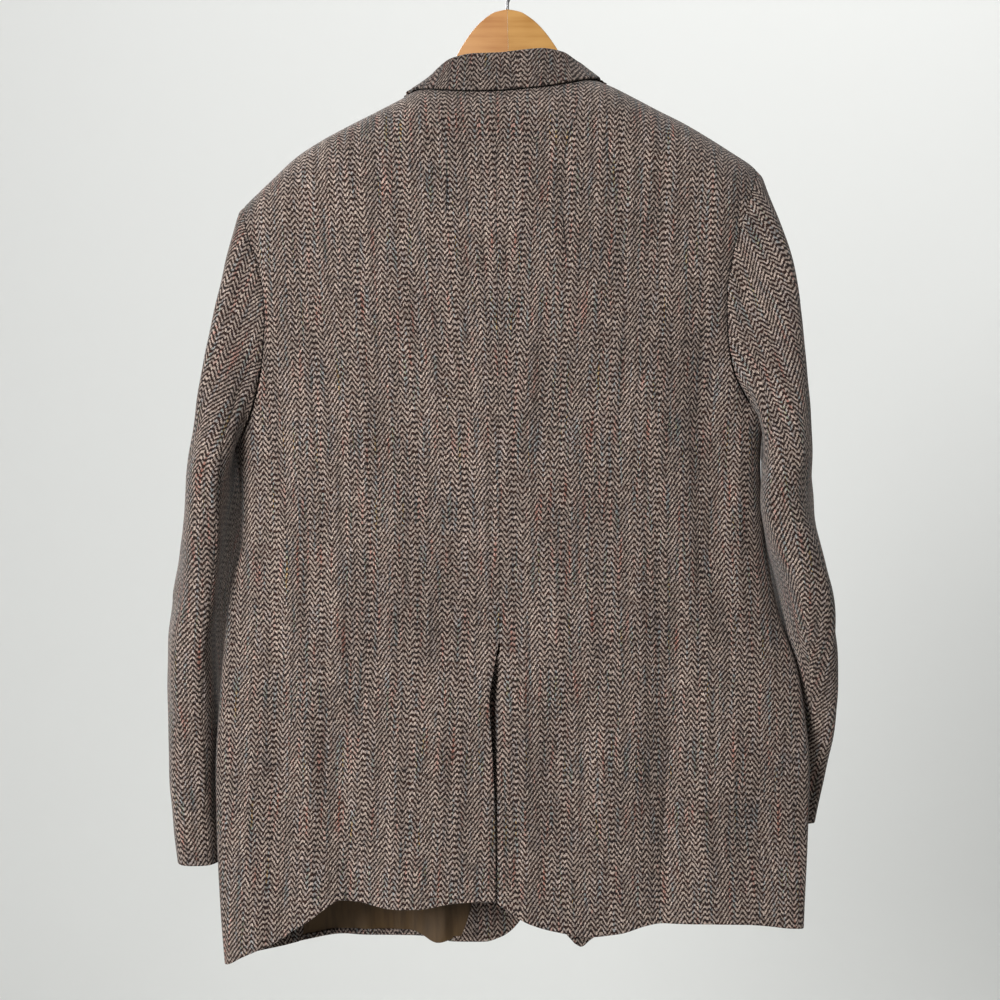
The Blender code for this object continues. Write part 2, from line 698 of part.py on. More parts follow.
def make_back(side):
    seam_x = smooth(BODY, "back_x", VENT_TOP)
    hem_x = seam_foot(side, True)
    neck = NECK_X + side * NECK_HALF
    top_x = smooth(BODY, "back_x", -130)
    shoulder = shoulder_edge(side, neck, True)
    neck_share = NECK_COLUMNS / BACK_COLUMNS

    def top(u):
        if u <= neck_share:
            return neckline(side, mix(top_x, neck, math.sin(u / neck_share * math.pi / 2)))
        return shoulder((u - neck_share) / (1 - neck_share))

    def inner_x(height):
        centre = smooth(BODY, "back_x", height)
        if side == LEFT:
            return centre - smooth(VENT_EDGE, "swing", height)
        return centre - VENT_LAP * ease((VENT_TOP - LAP_START - height) / LAP_RISE)

    low_x = inner_x(BACK_LENGTH)
    low = hem_place(BACK_HEM, side, low_x, True)
    neck_centre = top(0.0)

    def inner(v):
        height = mix(low[1], neck_centre[1], v)
        if v in (0.0, 1.0):
            return low if v == 0.0 else neck_centre
        return np.array([girth_at(side, inner_x(height), height, True), height])

    def bottom(u):
        return hem_place(BACK_HEM, side, mix(low_x, hem_x, u), True)

    place = patch(inner, outer_edge(side, hem_x, BACK_HEM, True), bottom, top)
    inset = vent_inset if side == RIGHT else None
    body_shell("back_" + SIDE_NAMES[side], side, place, even(BACK_COLUMNS), body_rows(), inset)


# ---- side bodies ---------------------------------------------------------------------------------
def make_side(side):
    name = SIDE_NAMES[side]
    low_back = hem_place(BACK_HEM, side, seam_foot(side, True), True)
    low_front = hem_place(FRONT_HEM, side, seam_foot(side, False), False)

    def bottom(u):
        girth = mix(low_back[0], low_front[0], u)
        x = body_point(side, girth, HEM_LEVEL)[0]
        table = BACK_HEM if girth < 1 else FRONT_HEM
        return np.array([girth, smooth(table, name, side * x)])

    def top(u):
        if u <= 0.5:
            return armhole_place(side, mix(SEAM_WAY["back"], 1.0, u / 0.5), True)
        return armhole_place(side, mix(1.0, SEAM_WAY["front"], (u - 0.5) / 0.5), False)

    def inner(v):
        return side_seam(side, mix(low_back[1], top(0.0)[1], v), True)

    def outer(v):
        return side_seam(side, mix(low_front[1], top(1.0)[1], v), False)

    body_shell("side_" + name, side, patch(inner, outer, bottom, top), even(10), SEAM_ROWS)


# ---- fronts --------------------------------------------------------------------------------------
FRONT_COLUMNS = 13


def under_lap(point):
    """The right front lies inside the left one where they lap."""
    centre = smooth(BODY, "front_x", point[2])
    return -UNDER_LAP * (1 - ease((point[0] - centre - LAP_FLAT) / LAP_FADE))


def front_x(side, distance, height):
    """x of a place given by its distance from the centre front, towards its own side."""
    return smooth(BODY, "front_x", height) + side * distance


def front_edge_x(side, height):
    return front_x(side, smooth(FRONT_EDGES, SIDE_NAMES[side], height), height)


def front_place(side, distance, height):
    return np.array([girth_at(side, front_x(side, distance, height), height, False), height])


def front_columns():
    """Columns across a front, closer at its edge and its corner."""
    return [(i / FRONT_COLUMNS) ** 1.55 for i in range(FRONT_COLUMNS + 1)]


def front_patch(side):
    """Girth and height over a front, from its edge to the side body and from hem to shoulder."""
    hem_x = seam_foot(side, False)
    neck = NECK_X + side * NECK_HALF
    top = shoulder_edge(side, neck, False)
    corner = FRONT_CORNER[side]
    low_x = front_edge_x(side, corner)
    low = hem_place(FRONT_HEM, side, low_x, False)

    def inner(v):
        height = mix(low[1], top(0.0)[1], v)
        if v in (0.0, 1.0):
            return low if v == 0.0 else top(0.0)
        return np.array([girth_at(side, front_edge_x(side, height), height, False), height])

    def bottom(u):
        return hem_place(FRONT_HEM, side, mix(low_x, hem_x, u), False)

    return patch(inner, outer_edge(side, hem_x, FRONT_HEM, False), bottom, top)


def front_shell(name, side, place, us, vs, **options):
    inset = under_lap if side == RIGHT else None
    return body_shell(name, side, place, us, vs, inset, **options)


def make_front(side):
    front_shell("front_" + SIDE_NAMES[side], side, front_patch(side), front_columns(), body_rows())


def make_lapel(side):
    """The facing's upper part, turned out over the front from its roll."""
    low, high = LAPEL_ROLL[side]

    def place(u, v):
        height = mix(low, high, v)
        roll = np.array([smooth(FRONT_EDGES, SIDE_NAMES[side], height), height])
        way = mix(LAPEL_FOOT[side], 1.0, v)
        edge = np.array([smooth(LAPEL_EDGE, "distance", way), smooth(LAPEL_EDGE, "height", way)])
        distance, level = mix(roll, edge, u)
        return front_place(side, distance, level)

    front_shell("lapel_" + SIDE_NAMES[side], side, place, even(6), even(9),
                outside=LAPEL_LIFT + WALL, inside=LAPEL_LIFT)


def make_inside_front():
    """What shows inside the left front under the short back: facing, turned-up hem and lining."""
    place = front_patch(LEFT)
    across, rows = front_columns(), body_rows()
    facing = [INSIDE_EDGE] + [share for share in across[1:] if share < FACING_SHARE] + [FACING_SHARE]
    inner = [FACING_SHARE] + [share for share in across[:-1] if share > FACING_SHARE] + [INSIDE_SEAM]
    low = [INSIDE_HEM, TURN_UP]
    under = {"outside": -WALL - INNER_GAP, "inside": -2 * WALL - INNER_GAP}
    front_shell("facing_left", LEFT, place, facing, low + rows[1:INNER_ROWS], **under)
    front_shell("turnup_left", LEFT, place, inner, low, **under)
    under["inside"] = under["outside"] - LINING_WALL
    front_shell("lining_left", LEFT, place, inner, [TURN_UP + ABOVE_TURN_UP] + rows[1:INNER_ROWS],
                slot="lining", **under)


def make_flap(side):
    """A slanted hip pocket flap, lying on the front."""
    corners = {key: front_place(side, *value) for key, value in FLAP_CORNERS.items()}

    def place(u, v):
        upper = mix(corners["top_in"], corners["top_out"], u)
        lower = mix(corners["low_in"], corners["low_out"], u)
        return mix(lower, upper, v)

    front_shell("flap_" + SIDE_NAMES[side], side, place, even(8), even(3),
                outside=FLAP_LIFT + WALL, inside=FLAP_LIFT)


def make_button(number, height):
    """A turned button: a dished disc on the left front, over the centre line."""
    place = front_place(LEFT, 0.0, height)
    out = body_normal(LEFT, *place)
    seat = body_point(LEFT, *place) + out * BUTTON_SEAT
    up = unit(np.array([0.0, 0.0, 1.0]) - out * out[2])
    aside = np.cross(up, out)
    sides = 20
    points = [seat + out * BUTTON_PROFILE[0].out]
    for ring in BUTTON_PROFILE[1:-1]:
        for i in range(sides):
            turn = 2 * math.pi * i / sides
            flat = (aside * math.cos(turn) + up * math.sin(turn)) * ring.radius
            points.append(seat + flat + out * ring.out)
    points.append(seat)
    faces = [(0, 1 + i, 1 + (i + 1) % sides) for i in range(sides)]
    rings = len(BUTTON_PROFILE) - 2
    for ring in range(rings - 1):
        for i in range(sides):
            a, b = 1 + ring * sides + i, 1 + ring * sides + (i + 1) % sides
            faces.append((a, a + sides, b + sides, b))
    last = 1 + (rings - 1) * sides
    faces += [(last + i, len(points) - 1, last + (i + 1) % sides) for i in range(sides)]
    close_mesh(f"button_{number}", np.array(points), faces, "horn")


# ---- collar --------------------------------------------------------------------------------------
def neck_place(side, way):
    """Girth and height along the neck seam: the back's neckline, then down the front's edge."""
    if way < COLLAR_NECK:
        return neckline(side, NECK_X + side * NECK_HALF * math.sin(way / COLLAR_NECK * math.pi / 2))
    top = shoulder_height(NECK_X + side * NECK_HALF)
    height = mix(top, COLLAR_END, ((way - COLLAR_NECK) / (1 - COLLAR_NECK)))
    return np.array([girth_at(side, front_edge_x(side, height), height, False), height])


def collar_section(side, way):
    """The neck seam, the fold and the leaf's edge at one place round the collar."""
    point = body_point(side, *neck_place(side, way))
    normal = body_normal(side, *neck_place(side, way))
    step = 0.01
    along = unit(body_point(side, *neck_place(side, min(way + step, 1.0)))
                 - body_point(side, *neck_place(side, max(way - step, 0.0))))
    away = side * unit(np.cross(along, normal))
    seam = point - away * COLLAR_SEAT
    fold = point + away * smooth(COLLAR, "turn_back", way) + normal * smooth(COLLAR, "rise", way)
    x = COLLAR_X + side * smooth(COLLAR, "edge_x", way)
    height = smooth(COLLAR, "edge_height", way) + x * COLLAR_TILT
    height = min(height, shoulder_height(x))
    back = way < COLLAR_NECK
    girth = girth_at(side, x, height, back)
    lift = smooth(COLLAR, "edge_lift", way)
    edge = body_point(side, girth, height) + body_normal(side, girth, height) * lift
    return seam, fold, edge


def collar_surface(u, v):
    """Round the neck by u, and from the neck seam over the fold to the leaf's edge by v."""
    way, side = abs(2 * u - 1), (LEFT if u < 0.5 else RIGHT)
    seam, fold, edge = collar_section(side, way)
    up = unit(fold - (seam + edge) / 2)
    across = edge - seam
    across = unit(across - up * float(across @ up))
    centre = fold - up * COLLAR_FOLD
    stand_top, leaf_top = centre - across * COLLAR_FOLD, centre + across * COLLAR_FOLD
    low, high = COLLAR_BEND
    if v < low:
        return mix(seam, stand_top, v / low)
    if v > high:
        return mix(leaf_top, edge, (v - high) / (1 - high))
    turn = math.pi * (v - low) / (high - low)
    return centre - across * math.cos(turn) * COLLAR_FOLD + up * math.sin(turn) * COLLAR_FOLD


def make_collar():
    low, high = COLLAR_BEND
    rows = [0.0, low / 2, low, mix(low, high, 0.25), 0.5, mix(low, high, 0.75), high]
    rows += [mix(high, 1.0, 0.33), mix(high, 1.0, 0.67), 1.0]
    shell("collar", collar_surface, even(30), rows, 1, inside=-COLLAR_WALL, trim=0.0)


# ---- sleeves -------------------------------------------------------------------------------------
def ring_point(side, turn, height):
    """A point round a sleeve's ring; turn is 0 outside, 90 at the back, 180 inside, 270 in front."""
    table = SLEEVES[side]
    x, y, thick, wide, back_lean, front_lean = (smooth(table, name, height) for name in table[0]._fields[1:])
    power = 2 / SLEEVE_SQUARENESS
    out = math.cos(math.radians(turn))
    back = math.sin(math.radians(turn))
    out = math.copysign(abs(out) ** power, out) * thick
    back = math.copysign(abs(back) ** power, back) * wide
    lean = math.radians(back_lean if back > 0 else front_lean)
    return np.array([x + side * (out + back * math.sin(lean)), y - back * math.cos(lean), height])


ARMHOLE_LENGTHS = {}


def armhole_way(side, share, back):
    """The way down an armhole at a share of its own length."""
    key = (side, back)
    if key not in ARMHOLE_LENGTHS:
        ways = [(i / 80) ** 2 for i in range(81)]
        spots = np.array([body_point(side, *armhole_place(side, way, back)) for way in ways])
        lengths = np.linalg.norm(np.diff(spots, axis=0), axis=1)
        ARMHOLE_LENGTHS[key] = np.concatenate(([0.0], np.cumsum(lengths))) / lengths.sum(), ways
    lengths, ways = ARMHOLE_LENGTHS[key]
    return float(np.interp(share, lengths, ways))


def armhole_at(side, turn):
    """Girth and height on the armhole for a turn round the sleeve."""
    turn = turn % 360.0
    back = turn <= 180.0
    share = turn / 180.0 if back else (360.0 - turn) / 180.0
    return armhole_place(side, armhole_way(side, share, back), back)


def armhole_start(side, turn):
    """Where a sleeve starts, and the way its cloth leaves the armhole."""
    point = body_point(side, *armhole_at(side, turn))
    after = body_point(side, *armhole_at(side, turn + 4.0))
    before = body_point(side, *armhole_at(side, turn - 4.0))
    normal = body_normal(side, *armhole_at(side, turn))
    away = unit(-side * np.cross(after - before, normal))
    under = (1 - math.cos(math.radians(turn))) / 2
    lift = math.radians(mix(CAP_LIFT, UNDERARM_LIFT, under ** 3))
    leave = away * math.cos(lift) + normal * math.sin(lift)
    leave = unit(leave * np.array([1.0, under, 1.0]))
    pull = mix(CAP_PULL[side], UNDERARM_PULL, under)
    return point + leave * mix(CAP_SEAT, UNDERARM_SEAT, under), leave * pull


def sleeve_point(side, turn, along):
    """A point on a sleeve's outside; along is 0 at the armhole and 1 at the cuff."""
    first, last = SLEEVES[side][0].height, SLEEVES[side][-1].height
    if along >= SLEEVE_CAP:
        return ring_point(side, turn, mix(first, last, (along - SLEEVE_CAP) / (1 - SLEEVE_CAP)))
    start, leave = armhole_start(side, turn)
    end = ring_point(side, turn, first)
    arrive = unit(ring_point(side, turn, first - 6.0) - end)
    chord = float(np.linalg.norm(end - start))
    t = along / SLEEVE_CAP
    start_pull = leave * chord
    end_pull = arrive * chord * CAP_REACH[side]
    return ((1 + 2 * t) * (1 - t) ** 2 * start + t * (1 - t) ** 2 * start_pull
            + t * t * (3 - 2 * t) * end - t * t * (1 - t) * end_pull)


def make_sleeve(side):
    """Top sleeve and under sleeve, joined down the back and the front."""
    rows = [SLEEVE_CAP * (i / 7) ** 1.15 for i in range(8)]
    rows += [mix(SLEEVE_CAP, 1.0, i / 9) for i in range(1, 10)]
    for part, turns in (("top", TOP_TURNS), ("under", UNDER_TURNS)):
        first, last = turns[0], turns[-1]

        def surface(u, v, first=first, last=last):
            return sleeve_point(side, mix(first, last, u), v)

        columns = [(turn - first) / (last - first) for turn in turns]
        shell(f"sleeve_{part}_{SIDE_NAMES[side]}", surface, columns, rows, side,
              outside=WALL, inside=0.0, trim=SLEEVE_SEAM / 2)


# ---- hanger --------------------------------------------------------------------------------------
def lean(point):
    """A point of the hanger, from its own middle to its place: it leans a little in its plane."""
    x, y, z = point
    pivot_x, pivot_z = HANGER_PIVOT
    cos, sin = math.cos(HANGER_LEAN), math.sin(HANGER_LEAN)
    drop = z - pivot_z
    return np.array([pivot_x + x * cos - drop * sin, y, pivot_z + drop * cos + x * sin])


def make_hanger(side):
    """One half of the wooden hanger: rounded sections from the glued middle to the arm's end."""
    points = []
    for wood in HANGER:
        half, round_ = wood.half_thick, min(WOOD_ROUND, wood.half_thick * 0.6)
        corners = [(half - round_, wood.upper), (half, wood.upper - round_),
                   (half, wood.lower + round_), (half - round_, wood.lower)]
        section = corners + [(-y, z) for y, z in reversed(corners)]
        points += [lean((side * wood.distance, y, z)) for y, z in section]
    size = 8
    faces = [tuple(range(size)), tuple(range(len(points) - size, len(points)))]
    for ring in range(len(HANGER) - 1):
        for i in range(size):
            a, b = ring * size + i, ring * size + (i + 1) % size
            faces.append((a, b, b + size, a + size))
    name = SIDE_NAMES[side]
    return close_mesh("hanger_" + name, np.array(points), faces, "wood_" + name)


def hook_path():
    """The hook's middle line in its plane, from the wood up round the rail."""
    radius = HOOK_RADIUS + HOOK_WIRE
    foot = lean((0.0, 0.0, HANGER[0].upper + SEAM))[[0, 2]]
    start = foot + np.array([0.0, HOOK_STEM])
    first, last = (math.radians(angle) for angle in HOOK_BEND)
    finish = np.array([radius * math.cos(first), radius * math.sin(first) - HOOK_RADIUS])
    leave = np.array([0.0, HOOK_PULL])
    arrive = np.array([-math.sin(first), math.cos(first)]) * HOOK_PULL
    path = [foot, start]
    for i in range(1, 6):
        t = i / 6
        path.append((1 + 2 * t) * (1 - t) ** 2 * start + t * (1 - t) ** 2 * leave
                    + t * t * (3 - 2 * t) * finish - t * t * (1 - t) * arrive)
    for i in range(19):
        angle = mix(first, last, i / 18)
        path.append(np.array([radius * math.cos(angle), radius * math.sin(angle) - HOOK_RADIUS]))
    return path


def make_hook():
    """The steel hook: round wire swept along its path."""
    path, sides = hook_path(), 10
    points, faces = [], []
    for i, spot in enumerate(path):
        along = unit(path[min(i + 1, len(path) - 1)] - path[max(i - 1, 0)])
        for k in range(sides):
            turn = 2 * math.pi * k / sides
            aside = HOOK_WIRE * math.cos(turn)
            points.append(np.array([spot[0] + along[1] * aside, HOOK_WIRE * math.sin(turn),
                                    spot[1] - along[0] * aside]))
    for ring in range(len(path) - 1):
        for k in range(sides):
            a, b = ring * sides + k, ring * sides + (k + 1) % sides
            faces.append((a, b, b + sides, a + sides))
    faces += [tuple(range(sides)), tuple(range(len(points) - sides, len(points)))]
    close_mesh("hook", np.array(points), faces, "steel")


def main():
    for old in list(bpy.data.objects):
        bpy.data.objects.remove(old)
    for side in (LEFT, RIGHT):
        make_back(side)
        make_side(side)
        make_front(side)
        make_lapel(side)
        make_flap(side)
        make_sleeve(side)
        make_hanger(side)
    make_inside_front()
    make_collar()
    for number, height in enumerate(BUTTON_HEIGHTS, 1):
        make_button(number, height)
    make_hook()


main()
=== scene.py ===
"""The looks of a tweed hacking jacket on its wooden hanger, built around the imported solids.

Each piece of cloth is a thin shell on its solid's form: the same sections, seams and hems, read on
a finer grid, with the smaller creases added and with rolled edges. Lengths in the tables are
millimetres in the part's frame: +Z is up, the back of the jacket faces -Y, the wearer's left is at
-X and the origin is the inside top of the hook. MM turns them into metres when a mesh is made.
"""
import math
from collections import namedtuple
from functools import partial

import bpy
import numpy as np
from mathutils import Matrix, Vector


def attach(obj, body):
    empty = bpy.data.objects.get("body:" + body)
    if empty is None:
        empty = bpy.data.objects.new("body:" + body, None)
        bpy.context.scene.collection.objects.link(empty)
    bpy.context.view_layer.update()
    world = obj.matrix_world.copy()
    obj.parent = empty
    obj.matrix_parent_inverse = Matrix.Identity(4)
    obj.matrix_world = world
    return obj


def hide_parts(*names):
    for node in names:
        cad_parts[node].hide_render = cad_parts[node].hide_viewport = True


MM = 0.001
LEFT, RIGHT = -1, 1
SIDE_NAMES = {LEFT: "left", RIGHT: "right"}
BODY_NAME = "root"


def table(columns, rows):
    """A short table with named columns."""
    row = namedtuple("Row", columns)
    return [row(*values) for values in rows]


# ---- cloth
WALL = 2.5  # tweed and the lining that is pressed to it
SEAM = 0.3  # gap between two pieces at a seam
LINING_WALL = 1.0
BACK_SQUARENESS = 3.0  # how flat the back hangs between its rounded sides
FRONT_SQUARENESS = 2.3
SHOULDER_ROUND = 58.0  # radius of the cloth over the shoulder line
HANGER_LEAN = math.radians(1.2)
HANGER_PIVOT = (4.6, -75.0)

# ---- sections of the body, from the top down
# left, right: how far the side lies from the hook's plumb line; left_y, right_y: where the side lies
# in depth; back_y, front_y: the flat of the back and of the front; back_x, front_x: centre lines
BODY = table("height left right left_y right_y back_y front_y back_x front_x", [
    (-90, 275, 265, 0, 0, -58, 58, -8, 4),
    (-250, 275, 265, -2, -2, -62, 64, -6, 10),
    (-350, 272, 262, -5, -5, -64, 72, -5, 14),
    (-430, 266, 257, -8, -8, -64, 75, -4, 18),
    (-490, 258, 249, -10, -10, -62, 73, -4, 20),
    (-530, 254, 250, -11, -10, -61, 70, -3, 22),
    (-570, 254, 253, -12, -12, -60, 67, -3, 24),
    (-610, 263, 259, -13, -16, -59, 64, -3, 25),
    (-655, 268, 269, -14, -21, -58, 61, -3, 27),
    (-690, 271, 281, -15, -26, -57, 59, -3, 29),
    (-730, 274, 288, -16, -30, -56, 57, -4, 31),
    (-790, 277, 293, -18, -34, -56, 55, -5, 33),
    (-850, 276, 291, -19, -36, -56, 54, -6, 36),
    (-930, 272, 287, -20, -38, -56, 53, -7, 39),
    (-990, 267, 285, -21, -38, -56, 52, -7, 41),
])

# shoulder line, by its distance from the hook's plumb line
SHOULDER_LINE = table("distance left right", [
    (0, -126.0, -126.0),
    (40, -127.5, -122.0),
    (75, -131.5, -121.5),
    (100, -144.0, -129.0),
    (125, -157.0, -141.0),
    (150, -169.5, -154.0),
    (175, -182.9, -166.4),
    (200, -199.0, -180.9),
    (225, -221.8, -196.5),
    (240, -235.9, -206.0),
    (252, -247.5, -217.0),
    (275, -272.0, -240.0),
])
NECK_X = 5.0  # centre of the neck
NECK_SHARE = 5 / 14  # share of a back's width that lies along the neck
NECK_HALF = 78.0  # from there to where the shoulder seam meets the neck
NECK_DIP = 8.5  # how far the back neck lies under the shoulder line
NECK_FLAT = 4  # how flat its middle runs
NECK_LEVEL = -130.0  # about where it lies

# armhole, from the shoulder tip down to the underarm; girth 0 is the centre, 1 the side of the body
ARMHOLES = {
    LEFT: table("way height back front", [
        (0.00, -247.1, 0.557, 0.663),
        (0.12, -280.0, 0.515, 0.641),
        (0.25, -315.0, 0.462, 0.581),
        (0.40, -355.0, 0.447, 0.531),
        (0.55, -394.0, 0.463, 0.531),
        (0.68, -425.0, 0.495, 0.562),
        (0.80, -454.0, 0.560, 0.628),
        (0.90, -478.0, 0.720, 0.740),
        (1.00, -492.0, 1.000, 1.000),
    ]),
    RIGHT: table("way height back front", [
        (0.00, -211.5, 0.590, 0.680),
        (0.12, -250.0, 0.515, 0.636),
        (0.25, -292.0, 0.455, 0.544),
        (0.40, -335.0, 0.430, 0.507),
        (0.55, -375.0, 0.435, 0.507),
        (0.68, -408.0, 0.460, 0.542),
        (0.80, -434.0, 0.530, 0.610),
        (0.90, -456.0, 0.700, 0.740),
        (1.00, -468.0, 1.000, 1.000),
    ]),
}
SEAM_WAY = {"back": 0.72, "front": 0.76}  # where the side body's seams leave the armhole
SEAM_MEET = 60.0  # height over which they bend to meet it
HEM_LEVEL = -950.0  # about where the hem lies
HEM_ROUNDS = 6  # rounds in which the meeting of a seam and the hem is found

# the side body's seams, by the distance from the plumb line at each height
SIDE_SEAMS = table("height back_left back_right front_left front_right", [
    (-395, 232, 214, 228, 224),
    (-420, 229, 203, 228, 223),
    (-445, 226, 194, 226, 220),
    (-480, 218, 188, 216, 210),
    (-533, 209, 186, 203, 200),
    (-590, 203, 186, 196, 200),
    (-628, 199, 182, 192, 204),
    (-685, 200, 169, 190, 210),
    (-732, 201, 161, 192, 214),
    (-807, 204, 155, 196, 220),
    (-900, 209, 149, 200, 226),
    (-990, 212, 147, 204, 230),
])

# hems, by the distance from the plumb line towards the panel's own side
BACK_HEM = table("distance left right", [
    (-60, -913.0, -908.0),
    (-10, -913.0, -912.0),
    (0, -913.0, -919.0),
    (25, -913.0, -934.0),
    (50, -915.0, -941.5),
    (80, -920.0, -946.0),
    (110, -920.5, -943.0),
    (135, -915.5, -936.0),
    (155, -913.5, -934.3),
    (170, -922.0, -934.3),
    (185, -933.0, -934.3),
    (200, -942.0, -934.3),
    (215, -953.5, -934.5),
    (230, -960.0, -935.0),
    (250, -969.0, -937.0),
    (270, -979.0, -940.0),
    (292, -981.0, -942.0),
])
FRONT_HEM = table("distance left right", [
    (-9, -967.0, -975.0),
    (0, -973.5, -975.0),
    (19, -979.0, -975.0),
    (50, -978.5, -975.0),
    (70, -974.0, -978.5),
    (79, -973.3, -983.0),
    (88, -972.7, -976.5),
    (100, -972.0, -970.0),
    (118, -970.5, -966.0),
    (138, -968.5, -961.0),
    (160, -967.0, -957.0),
    (195, -971.0, -952.0),
    (228, -976.5, -948.0),
    (270, -979.5, -943.0),
    (292, -980.0, -942.0),
])

# front edge and lapel roll, as the distance from the centre front; less than 0 is past it
FRONT_EDGES = table("height left right", [
    (-118, 79, 79),
    (-160, 68, 68),
    (-203, 60, 60),
    (-300, 30, 30),
    (-398, 0, 0),
    (-455, -18, -18),
    (-700, -18, -18),
    (-780, -14, -14),
    (-840, -8, -8),
    (-890, 0, 0),
    (-930, 10, 9),
    (-957, 22, 16),
    (-967, 31, 21),
    (-979, 40, 31),
])
FRONT_CORNER = {LEFT: -967.0, RIGHT: -979.0}
SEAM_SHARE = 0.735  # share of a panel's height that lies below the armhole
UNDER_LAP = 7.2  # the right front lies this far inside the left one
LAP_FLAT, LAP_FADE = 20.0, 52.0

# ---- centre vent
VENT_TOP = -662.0
VENT_LAP = 46.0  # how far the right back runs on under the left one
VENT_DEPTH = 13.5  # and how deep under it
VENT_RAMP = 44.0  # height over which it gets there
VENT_ROLL = 26.0  # width of the right back's roll towards the vent
VENT_SINK = 3.5  # how deep that roll goes
VENT_DROP = (-6.0, 8.0)  # where the cloth drops in behind the flap: its foot and its width
LAP_START, LAP_RISE = 14.0, 40.0  # the lap starts below the top and reaches its width
BACK_LENGTH = -913.0  # height of the hem at the centre back
# edge of the left back's flap, as its distance past the centre seam towards the wearer's left
VENT_EDGE = table("height swing", [
    (-640, 0.0),
    (-662, 0.0),
    (-678, 3.0),
    (-702, 7.0),
    (-719, 9.0),
    (-771, 5.5),
    (-832, 2.0),
    (-892, 0.5),
    (-990, 0.8),
])

# ---- the largest folds: soft troughs (depth > 0) and ridges (depth < 0)
# face: +1 back, -1 front; top, bottom: heights; top_x, bottom_x: where it starts and ends
FOLD_FADE = 0.35  # share of a fold's length over which it rises and dies away
FOLD_REACH = 8  # power by which folds die away towards the side of the body
HEM_ZONE = -900.0  # a fold that ends below this runs out through the hem
FOLDS = table("face top bottom top_x bottom_x depth width", [
    (1, -600, -990, -216, -214, 5.0, 13),
    (1, -600, -990, -176, -160, 4.0, 15),
    (1, -640, -960, -120, -110, -2.5, 22),
    (1, -380, -650, 183, 190, 5.0, 11),
    (1, -430, -640, 222, 190, 3.0, 12),
    (1, -730, -990, 158, 146, 6.0, 14),
    (1, -760, -990, 212, 216, -3.0, 22),
    (1, -420, -560, -228, -206, 3.5, 12),
    (1, -200, -420, -190, -200, 2.5, 16),
    (1, -180, -400, 176, 186, 2.5, 16),
    (-1, -640, -990, -150, -138, 4.5, 18),
    (-1, -700, -990, -78, -90, -3.0, 20),
    (-1, -640, -990, 150, 162, 4.5, 17),
    (-1, -720, -990, 205, 215, -3.5, 20),
    (-1, -430, -600, -222, -176, 4.0, 13),
    (-1, -420, -590, 214, 170, 3.5, 13),
])

# ---- sleeves: rings from below the armhole down to the cuff
# thick and wide are half sizes across and along the flattened sleeve; back_lean swings its back
# edge outwards and front_lean its front edge inwards, in degrees
SLEEVES = {
    LEFT: table("height x y thick wide back_lean front_lean", [
        (-512, -284.5, 2, 19, 80, -5, 10),
        (-550, -291.5, 6, 18, 80, -9, 14),
        (-590, -298.5, 12, 18, 79, -12, 14),
        (-630, -306, 18, 18.5, 78, -14, 15),
        (-670, -308.5, 24, 20.5, 77, -10, 14),
        (-730, -306.5, 31, 22, 75, -6, 9),
        (-790, -303, 37, 22.5, 73, -3, 5),
        (-845, -299, 41, 21.5, 71, 0, 2),
        (-885, -296, 43, 20.5, 70, 0, 2),
    ]),
    RIGHT: table("height x y thick wide back_lean front_lean", [
        (-502, 275.5, -8, 22, 76, -9, -9),
        (-535, 276.5, -9, 22.5, 76, -12, -12),
        (-575, 281.5, -5, 23, 76, -7, -7),
        (-615, 287.5, 4, 22, 76, 1, 1),
        (-655, 292.5, 18, 21.5, 76, 5, 5),
        (-695, 295, 34, 20, 74, 8, 8),
        (-740, 294, 48, 18, 72, 12, 12),
        (-790, 287, 60, 17.5, 70, 15, 15),
        (-850, 273, 70, 17.5, 68, 18, 18),
    ]),
}
SLEEVE_SQUARENESS = 3.4
SLEEVE_CAP = 0.42  # share of a sleeve's length that lies above its first ring
CAP_LIFT, UNDERARM_LIFT = -14.0, 78.0  # angle at which the sleeve leaves the body's cloth
CAP_PULL = {LEFT: 0.30, RIGHT: 0.50}  # how strongly the cap leaves the armhole
CAP_REACH = {LEFT: 0.36, RIGHT: 0.75}  # and how strongly it runs on into the arm
UNDERARM_PULL = 0.7
CAP_SEAT, UNDERARM_SEAT = 0.1, 1.2  # gap between the sleeve and the armhole
TOP_TURNS, UNDER_TURNS = (-114, 112), (112, 246)  # degrees round the sleeve, from seam to seam

# ---- collar: sections from the centre back round to its front end
# turn_back, rise: from the neck seam to the fold, back over the panel and straight off it;
# edge_x, edge_height: where the leaf's edge lies on the panels; edge_lift: how far off them
COLLAR = table("way turn_back rise edge_x edge_height edge_lift", [
    (0.00, -11.0, 27.0, 0, -147.0, 4.5),
    (0.12, -11.0, 27.0, 30, -145.9, 4.4),
    (0.23, -9.0, 23.0, 57, -142.4, 4.2),
    (0.31, -7.0, 15.0, 76, -138.0, 4.0),
    (0.38, -7.0, 9.0, 88, -135.0, 3.8),
    (0.46, -7.5, 5.5, 95, -128.0, 3.5),
    (0.56, -8.0, 4.5, 99, -141.0, 3.6),
    (0.68, -8.0, 4.2, 102, -155.0, 3.7),
    (0.84, -7.5, 4.0, 103, -185.0, 3.7),
    (1.00, -7.0, 4.0, 102, -214.0, 3.7),
])
COLLAR_WALL = 2.4
COLLAR_FOLD = 3.4  # outer radius of the fold
COLLAR_X = 2.5
COLLAR_SEAT = 1.1  # gap to the panels along the neck
COLLAR_NECK = 0.46  # where the neck seam passes from the back to the front
COLLAR_END = -204.0
COLLAR_TILT = math.tan(math.radians(3.3))
COLLAR_BEND = (0.40, 0.60)  # rows between which the collar turns over its fold

